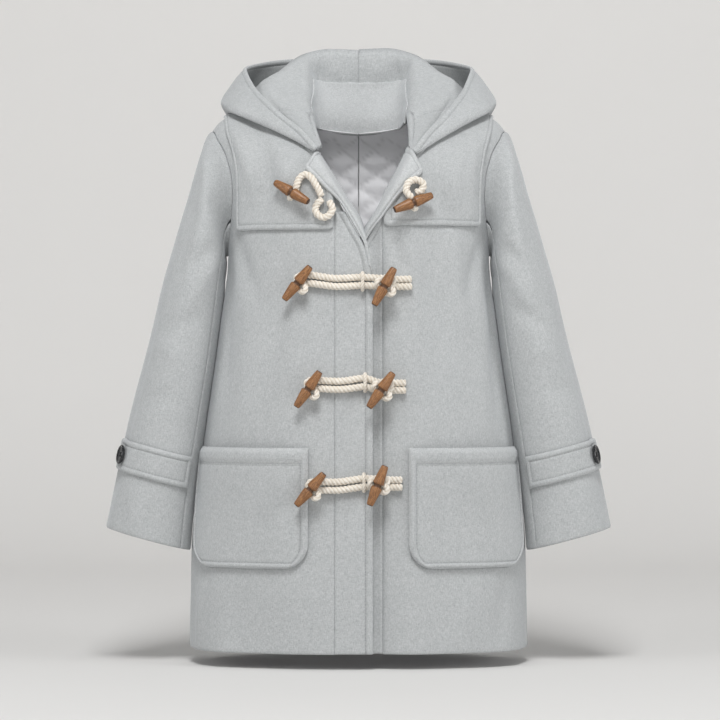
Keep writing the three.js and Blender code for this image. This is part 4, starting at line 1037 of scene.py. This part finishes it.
def makeHood(name, sign, wool):
    long = hood["round"]
    around = places(long, "seam", "edge", 84)
    # rows lie close together where a seam crosses the turned-out part
    away = (around < crossingSeam["from"]) | (around > crossingSeam["to"])
    close = np.arange(crossingSeam["from"], crossingSeam["to"] + 0.5, crossingSeam["step"])
    around = np.unique(np.concatenate([around[away], close]))
    kinds = {"low": "seam", "high": "edge", "bottom": "seam", "top": "edge"}
    part = grid(lambda t, w: hoodPoint(sign, t, w), around / long, around, kinds, 3.0)
    part["points"][0, :, 0] = sign * 0.2
    steps = np.linalg.norm(np.diff(part["points"], axis=1), axis=-1)
    part["across"] = np.concatenate([np.zeros((len(steps), 1)), np.cumsum(steps, axis=1)], axis=1)
    part["edge"] = part["across"][:, -1:] - part["across"]
    wayUp = part["across"] / part["across"][:, -1:]
    reach, roll = np.array([hoodLine(sign, float(w))[2:] for w in around / long]).T[..., None]
    wave = creased(part["up"], wayUp * long, creasesOf(sign, hoodCreases, long, long))
    wave = wave * smooth(0, 14, part["up"]) * smooth(3, 13, np.abs(part["across"] - roll))
    # the seam that closes the stand crosses the turned-out part near the front
    over = np.clip((part["across"] - reach) / np.maximum(roll - reach, 1), 0, 1.3)
    off = part["up"] - mix(0.745, 0.785, over) * long
    groove = 1.3 * np.exp(-((off / 1.3) ** 2)) + 0.5 * smooth(-2.5, 0.5, off) * (1 - smooth(2, 9, off))
    groove = groove * smooth(-3, 4, part["across"] - reach) * (1 - smooth(roll - 2, roll + 8, part["across"]))
    back = edgeLift(part["edge"], part["seam"]) + 1.0 * (1 - smooth(0, 1.7, part["edge"])) - groove
    inner = wave - back
    closedWall("hood_" + name, part, 0, -cloth["wool"], sign, wool, extraOut=wave, extraIn=inner)


def makeStand(facing):
    long = 100
    up = places(long, None, "seam", 22)
    ends = 0.6

    def pointAt(u, high):
        w = mix(-ends, ends, u)
        size = np.broadcast(w, high).shape
        w, high = np.broadcast_to(w, size).T, np.broadcast_to(high, size).T
        tops = []
        for way in np.abs(w[:, 0]):
            line, travel, crest, _ = hoodLine(1, float(way))
            seam = travel[np.argmax(line[:, 2] >= hood["seamHeight"])]
            tops.append([min(seam, crest + float(mix(16, -13, smooth(0.24, 0.4, way))))])
        at = mix(1.0, np.array(tops), high / long)
        right, left = hoodPoint(-1, at, np.abs(w), True), hoodPoint(1, at, np.abs(w), True)
        points = np.where((w < 0)[..., None], right, left)
        points[..., 2] -= (4.5 + 5 * smooth(0.28, 0.46, np.abs(w))) * (1 - smooth(0, 22, high))
        return points.transpose(1, 0, 2)

    part = grid(pointAt, up, up, {"low": None, "high": None, "top": "seam"}, 3.4)
    closedWall("hood_stand", part, cloth["wool"] + 1.6, cloth["wool"] - 0.2, 1, facing)


ropeSize = {"radius": 4.35, "pitch": 14.0, "sides": 30, "step": 1.0, "lobeReach": 0.36, "lobe": 0.64}


# A curve through points in even steps, with its length
def evenPath(points, step):
    fine = spline(points, np.linspace(0, 1, 40 * len(points)))
    travel = travelled(fine)
    count = max(4, int(travel[-1] / step))
    at = np.linspace(0, travel[-1], count + 1)
    return np.stack([np.interp(at, travel, fine[:, k]) for k in range(3)], -1), travel[-1]


# Three twisted strands along a path. The last rings close in so that the ends look cut and soft
def makeRope(name, points, material, node=None, radius=ropeSize["radius"], pitch=ropeSize["pitch"]):
    path, length = evenPath(points, ropeSize["step"] * radius / 4)
    ahead = unit(np.gradient(path, axis=0))
    across = [unit(np.cross(ahead[0], [0.3, 1.0, 0.1]))]
    for way in ahead[1:]:
        across.append(unit(across[-1] - way * across[-1].dot(way)))
    across = np.array(across)
    up = np.cross(ahead, across)
    sidesCount = ropeSize["sides"]
    turn = np.linspace(0, 2 * np.pi, sidesCount, endpoint=False)
    travel = np.linspace(0, length, len(path))
    twist = 2 * np.pi * travel / pitch
    inLobe = np.mod(turn[None, :] - twist[:, None] + np.pi / 3, 2 * np.pi / 3) - np.pi / 3
    reach, lobe = ropeSize["lobeReach"], ropeSize["lobe"]
    section = reach * np.cos(inLobe) + np.sqrt(lobe**2 - (reach * np.sin(inLobe)) ** 2)
    fromEnd = np.minimum(travel, length - travel)
    section = section * (0.78 + 0.22 * np.sqrt(np.clip(fromEnd / (0.45 * radius), 0, 1)))[:, None] * radius
    outward = across[:, None] * np.cos(turn)[:, None] + up[:, None] * np.sin(turn)[:, None]
    rings = path[:, None] + section[..., None] * outward
    tips = [path[:1] - ahead[:1] * 0.5, path[-1:] + ahead[-1:] * 0.5]
    vertices = np.concatenate([rings.reshape(-1, 3), *tips]) / 1000
    index = np.arange(len(path) * sidesCount).reshape(len(path), sidesCount)
    a, b = index[:-1], index[1:]
    faces = np.stack([a, np.roll(a, -1, 1), np.roll(b, -1, 1), b], -1).reshape(-1, 4).tolist()
    first, last = len(vertices) - 2, len(vertices) - 1
    faces += [(first, int(index[0, (i + 1) % sidesCount]), int(index[0, i])) for i in range(sidesCount)]
    faces += [(last, int(index[-1, i]), int(index[-1, (i + 1) % sidesCount])) for i in range(sidesCount)]
    mesh = newMesh(name, vertices.tolist(), faces)
    # the yarns of a strand run a little against its twist
    yarn = inLobe * 3.2 + travel[:, None] * 0.55 / radius * 4
    # where the strands meet, for the painted shade in the grooves
    groove = smooth(0.35, 1.0, np.abs(inLobe) / (np.pi / 3)) ** 2
    carry(mesh, "yarn", [yarn, [0, 0]])
    carry(mesh, "groove", [groove, [0, 0]])
    return finishedPiece(name, mesh, material, node), path / 1000, length / 1000


# Each toggle: x, z, lean in degrees, height over the front
toggleRows = {
    "right_1": (-71.7, -79.9, -57.7, 15.6), "left_1": (60.2, -92.4, 66.5, 15.6),
    "right_2": (-67.1, -184.8, 32, 13.2), "left_2": (28.3, -188.9, 27, 16.5),
    "right_3": (-56.1, -306.2, 33, 13.3), "left_3": (24.9, -307.3, 34, 16.5),
    "right_4": (-53.3, -420.4, 39, 17.2), "left_4": (21.1, -415.9, 21, 15.9)}
loopRows = {
    "2": {"left": (-69.8, -179.7), "middle": (-26, -183.1), "bind": (4.6, -181.8), "right": (39.1, -183.1),
          "anchor": (25.2, 60.8, -183.6), "rise": 0},
    "3": {"left": (-58.6, -300.4), "middle": (-20, -301.2), "bind": (7.5, -298), "right": (36.6, -302.4),
          "anchor": (24.2, 54, -302.7), "rise": 0},
    "4": {"left": (-56.1, -416.5), "middle": (-23.5, -416.5), "bind": (6.3, -412.6), "right": (32.2, -413),
          "anchor": (21.4, 49.9, -413.8), "rise": 4.3}}
fastening = {"lift": 4.5, "loopGap": 4.7, "anchorGap": 4.2, "onYoke": 8.2, "wrap": 7.5}


def onFrontAll(spots):
    x, z, lift = np.array(spots, float).T
    return list(onFront(x, z, lift))


def bight(tipX, z, out, lift, halfGap):
    turns = np.radians([-75, -38, 0, 38, 75])
    return [(tipX - out * halfGap * (1 - np.cos(turn)), z + halfGap * np.sin(turn), lift) for turn in turns]


def toggleFrame(name):
    x, z, lean, lift = toggleRows[name]
    lean = np.radians(lean)
    ends = onFrontAll([(x + way * 18 * np.sin(lean), z + way * 18 * np.cos(lean), lift) for way in (-1, 1)])
    middle, = onFrontAll([(x, z, lift)])
    outer, = onFrontAll([(x, z, lift + 5)])
    axis = unit(ends[1] - ends[0])
    across = unit(np.cross(axis, outer - middle))
    return middle, axis, across, np.cross(across, axis)


def roundToggle(name, angles):
    middle, axis, across, out = toggleFrame(name)
    turns = np.radians(angles)
    return [middle + fastening["wrap"] * (across * np.cos(turn) + out * np.sin(turn)) for turn in turns]


# The free curl of the open top row comes first, then the ropes that are held all the way
def makeRopes(material):
    onYoke = fastening["onYoke"]
    curl = [(-40.5, -87.5), (-46, -92.5), (-48.4, -99), (-46, -105.3), (-39, -108.6), (-32.6, -105.5),
            (-29.4, -99), (-31.5, -93.5), (-33.5, -89.5)]
    curl = onFrontAll([(x, z, onYoke) for x, z in curl])
    piece, path, length = makeRope("loopRope1", curl, material, "loop_1")
    spots = roundToggle("right_1", [-172, -135, -95, -55])
    free = [(-66, -65, 0.5), (-60, -60.8, 1), (-53.5, -64, 1), (-48, -71.5, 0.5), (-43.5, -79, 0),
            (-42, -84.5, 0)]
    spots += onFrontAll([(x, z, onYoke + over) for x, z, over in free])
    makeRope("toggleRopeRight1", spots, material, "rope_right_1")
    spots = roundToggle("left_1", [-8, -45, -90, -130, -165])
    free = [(53.5, -77, 1.5), (56.5, -69, 1.5), (64.5, -66.5, 2), (71, -70.5, 2), (69.5, -77.5, 1.5),
            (63.5, -79, 1)]
    spots += onFrontAll([(x, z, onYoke + over) for x, z, over in free])
    makeRope("toggleRopeLeft1", spots, material, "rope_left_1")
    lift, gap = fastening["lift"], fastening["loopGap"]
    for name, row in loopRows.items():
        def strand(x, z, way):
            return x, z + way * gap, lift + 3 * smooth(14, 34, x) + row["rise"] * smooth(-34, -48, x)

        (leftX, leftZ), (middleX, middleZ) = row["left"], row["middle"]
        (bindX, bindZ), (rightX, rightZ) = row["bind"], row["right"]
        spots = [strand(bindX - 1.2, bindZ, -1), strand(middleX, middleZ, -1), strand(leftX + 15, leftZ, -1)]
        spots += bight(leftX, leftZ, -1, lift + row["rise"], gap)
        spots += [strand(leftX + 15, leftZ, 1), strand(middleX, middleZ, 1), strand(bindX, bindZ, 1)]
        spots += [strand(rightX - 14, rightZ, 1)]
        spots += bight(rightX, rightZ, 1, strand(rightX, rightZ, 0)[2], gap)[::-1]
        spots += [strand(rightX - 14, rightZ, -1), strand(bindX + 1.2, bindZ, -1)]
        makeRope(f"loopRope{name}", onFrontAll(spots), material, f"loop_{name}")
        tip, end, z = row["anchor"]
        middle = (tip + end) / 2 + 4
        turn = [(x, high) for x, high, _ in bight(tip, z, -1, 0, fastening["anchorGap"])]
        low, high = z - fastening["anchorGap"], z + fastening["anchorGap"]
        flat = [(end, low), (middle, low), *turn, (middle, high), (end, high)]
        spots = [(x, at, lift - front["underlap"] * smooth(62, 26, x)) for x, at in flat]
        makeRope(f"anchorRope{name}", onFrontAll(spots), material, f"anchor_{name}")
        reach, over = gap + 3.8 + 1.1, lift + 3.8 + 1.3
        arch = [(-reach, 0.6), (-reach + 0.1, 4.5), (-reach + 2.0, over - 1.2), (-gap, over), (0, over - 0.5)]
        arch += [(-way, high) for way, high in arch[-2::-1]]
        spots = [(bindX, bindZ + way, high) for way, high in arch]
        # a turn of the same rope holds each toggle at its groove
        for side, ways in (("right", (1,)), ("left", (1, -1))):
            at, axis, across, out = toggleFrame(f"{side}_{name}")
            for way in ways:
                far = 12.6 if way > 0 else 9.5
                turn = [(-1, 3.4, -8), (0.55 * far, 3.8, -4.5), (0.93 * far, 2.4, -1.5), (far, 0, -0.8)]
                turn += [(a, -b, c) for a, b, c in turn[-2::-1]]
                held = [at + across * a * way + axis * (b - 1.2 * way) + out * c for a, b, c in turn]
                makeRope(f"{side}Turn{name}{'AB'[way < 0]}", held, material, radius=3.4)
        makeRope(f"bindingRope{name}", onFrontAll(spots), material, f"binding_{name}", radius=2.3, pitch=11.0)


def startPiece(name, radius, low, count):
    deselect()
    bpy.ops.mesh.primitive_circle_add(vertices=count, radius=radius, fill_type="NGON", location=(0, 0, 0))
    piece = bpy.context.active_object
    piece.name = name
    piece.data.name = name
    bpy.ops.object.mode_set(mode="EDIT")
    bpy.ops.mesh.select_all(action="SELECT")
    bpy.ops.transform.translate(value=(0, 0, low))
    return piece


# Draws the selected end face up through a profile of radius and height
def drawProfile(profile):
    for (radius, height), (nextRadius, nextHeight) in zip(profile, profile[1:]):
        bpy.ops.mesh.extrude_region_move(TRANSFORM_OT_translate={"value": (0, 0, nextHeight - height)})
        scale = nextRadius / radius
        bpy.ops.transform.resize(value=(scale, scale, 1))


# The place of a small piece: its middle, and where its own three ways point
def placeMatrix(middle, *ways):
    turn = Matrix([(*row, 0) for row in np.stack(ways, -1)] + [(0, 0, 0, 1)])
    return Matrix.Translation(Vector(middle / 1000)) @ turn


toggleHalf = 24.5


def makeToggles(material):
    half = toggleHalf
    side = [(2.5, half), (3.3, half - 0.25), (3.85, half - 1.1), (4.35, half - 3.5), (5.0, 15.5), (5.7, 10.5),
            (6.2, 6.0), (6.3, 3.6), (6.1, 2.6), (5.6, 2.0), (4.7, 1.7), (4.35, 1.4), (4.3, 0.5)]
    profile = [(r / 1000, -h / 1000) for r, h in side] + [(r / 1000, h / 1000) for r, h in side[::-1]]
    piece = startPiece("toggleShape", profile[0][0], profile[0][1], 36)
    drawProfile(profile)
    bpy.ops.mesh.inset(thickness=0.0009, depth=-0.00018)
    bpy.ops.mesh.select_all(action="SELECT")
    bpy.ops.mesh.normals_make_consistent(inside=False)
    bpy.ops.object.mode_set(mode="OBJECT")
    bpy.ops.object.shade_smooth_by_angle(angle=np.radians(50))
    for order, name in enumerate(toggleRows):
        mesh = piece.data.copy()
        mesh.name = f"toggle_{name}"
        local = np.array([vertex.co for vertex in mesh.vertices]) * 1000
        grain = mesh.attributes.new("grain", "FLOAT_VECTOR", "POINT")
        ownGrain = local + np.array([37.0, 11.0, 53.0]) * order  # no two toggles have the same grain
        grain.data.foreach_set("vector", ownGrain.astype(np.float32).ravel())
        radius = np.hypot(local[:, 0], local[:, 1])
        # the end faces are darker end grain
        dark = np.where(np.abs(local[:, 2]) > half - 0.4, 1.0, 0.0) * np.where(radius < 3.4, 1.0, 0.0)
        # painted shade: the groove round the middle is darkened
        dark = np.maximum(dark, 0.85 * np.exp(-((local[:, 2] / 2.0) ** 4)))
        carry(mesh, "endGrainAndGrooveShade", [dark])
        middle, axis, across, out = toggleFrame(name)
        handed = np.sign(np.dot(np.cross(across, out), axis))
        mesh.transform(placeMatrix(middle, handed * across, out, axis))
        side, row = name.split("_")
        finishedPiece(f"woodenToggle{side.capitalize()}{row}", mesh, material, f"toggle_{name}")
    bpy.data.objects.remove(piece)


buttonSize = {"foot": 9.2, "radius": 11.4, "rim": 9.6, "well": 7.6, "high": 4.2, "sunk": 2.6, "hole": 0.95,
              "holeAt": 1.95, "thread": 0.33, "threadGap": 0.196}


def makeButtons(material, threadMaterial):
    size = buttonSize
    wide, sunk = size["radius"], size["sunk"]
    profile = [(size["foot"] - 0.8, 0), (size["foot"], 0.15), (wide - 0.4, 1.7), (wide, 2.2), (wide, 3.1),
               (wide - 0.5, 3.8), (10.3, size["high"]), (size["rim"], 4.15), (8.9, 3.75), (size["well"], 2.9),
               (6.4, sunk), (3.8, sunk - 0.1)]
    profile = [(r / 1000, h / 1000) for r, h in profile]
    piece = startPiece("buttonShape", profile[0][0], profile[0][1], 48)
    drawProfile(profile)
    bpy.ops.mesh.select_all(action="SELECT")
    bpy.ops.mesh.normals_make_consistent(inside=False)
    bpy.ops.object.mode_set(mode="OBJECT")
    at = size["holeAt"] / 1000
    corners = [(at, at), (-at, at), (-at, -at), (at, -at)]
    for x, y in corners:
        deselect()
        radius = size["hole"] / 1000
        bpy.ops.mesh.primitive_cylinder_add(vertices=14, radius=radius, depth=0.012, location=(x, y, 0.002))
        drill = bpy.context.active_object
        deselect()
        piece.select_set(True)
        bpy.context.view_layer.objects.active = piece
        cut = piece.modifiers.new("hole", "BOOLEAN")
        cut.object = drill
        cut.operation = "DIFFERENCE"
        bpy.ops.object.modifier_apply(modifier=cut.name)
        bpy.data.objects.remove(drill)
    bpy.ops.object.shade_smooth_by_angle(angle=np.radians(35))
    # Crossed thread from hole to hole
    threads = []
    for (x0, y0), (x1, y1) in ((corners[0], corners[2]), (corners[1], corners[3])):
        for side in (-size["threadGap"] / 1000, size["threadGap"] / 1000):
            deselect()
            length = np.hypot(x1 - x0, y1 - y0) * 1.12
            radius = size["thread"] / 1000
            bpy.ops.mesh.primitive_cylinder_add(vertices=10, radius=radius, depth=length, location=(0, 0, 0))
            thread = bpy.context.active_object
            bpy.ops.object.mode_set(mode="EDIT")
            bpy.ops.mesh.select_all(action="SELECT")
            lean = -np.arctan2(y1 - y0, x1 - x0)
            beside = side if y1 * x1 < 0 else -side
            bpy.ops.transform.rotate(value=np.radians(90), orient_axis="Y", center_override=(0, 0, 0))
            bpy.ops.transform.rotate(value=lean, orient_axis="Z", center_override=(0, 0, 0))
            bpy.ops.transform.translate(value=(side, beside, sunk / 1000 + 0.0002))
            bpy.ops.object.mode_set(mode="OBJECT")
            bpy.ops.object.shade_smooth()
            thread.data.materials.append(threadMaterial)
            threads.append(thread)
    for name, sign in sides.items():
        angle, drop = tab["button"], (tab["top"] + tab["bottom"]) / 2
        near = ((0, 0), (0, -4), (0, 4), (-4, 0), (4, 0))
        middle, up, down, left, right = (sleevePoint(sign, angle + da, drop + dd) for da, dd in near)
        out = unit(-sign * np.cross(down - up, right - left))
        along = unit((up - down) - out * (up - down).dot(out))
        across = np.cross(along, out)
        middle = middle + out * (cloth["skinGap"] + cloth["wool"] + 0.9)
        place = placeMatrix(middle, across, along, out)
        deselect()
        copies = []
        for part in [piece, *threads]:
            mesh = part.data.copy()
            mesh.transform(place)
            copy = placed("cuffButton" + name.capitalize(), mesh)
            copy.select_set(True)
            copies.append(copy)
        button = copies[0]
        button.data.materials.clear()
        button.data.materials.append(material)
        bpy.context.view_layer.objects.active = button
        bpy.ops.object.join()
        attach(button, "root")
        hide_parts(f"cuff_button_{name}")
    for part in [piece, *threads]:
        bpy.data.objects.remove(part)


deselect()
makeStage()
print("stage made")
felted = woolGroup()
wool = woolMaterial("brushedWool", felted, (0.31, 0.323, 0.328), (0.52, 0.533, 0.537))
facing = woolMaterial("facingWool", felted, (0.37, 0.383, 0.388), (0.57, 0.583, 0.588))
satin = liningMaterial()
cotton = ropeMaterial()
makeRopes(cotton)
print("ropes made")
for name, sign in sides.items():
    makeBody(name, sign, wool)
    makeBand(name, sign, wool)
    makeFacing(name, sign, facing)
    makeLapel(name, sign, facing)
    makeLining(name, sign, satin)
    makeYoke(name, sign, wool)
    makePocket(name, sign, wool)
    makeSleeve(name, sign, wool)
    makeCuffTab(name, sign, wool)
    makeHood(name, sign, wool)
    print("cloth made:", name)
makeStand(facing)
makeToggles(woodMaterial())
makeButtons(buttonMaterial(), plainMaterial("blackThread", (0.02, 0.02, 0.022), 0.7))
print("toggles and buttons made")
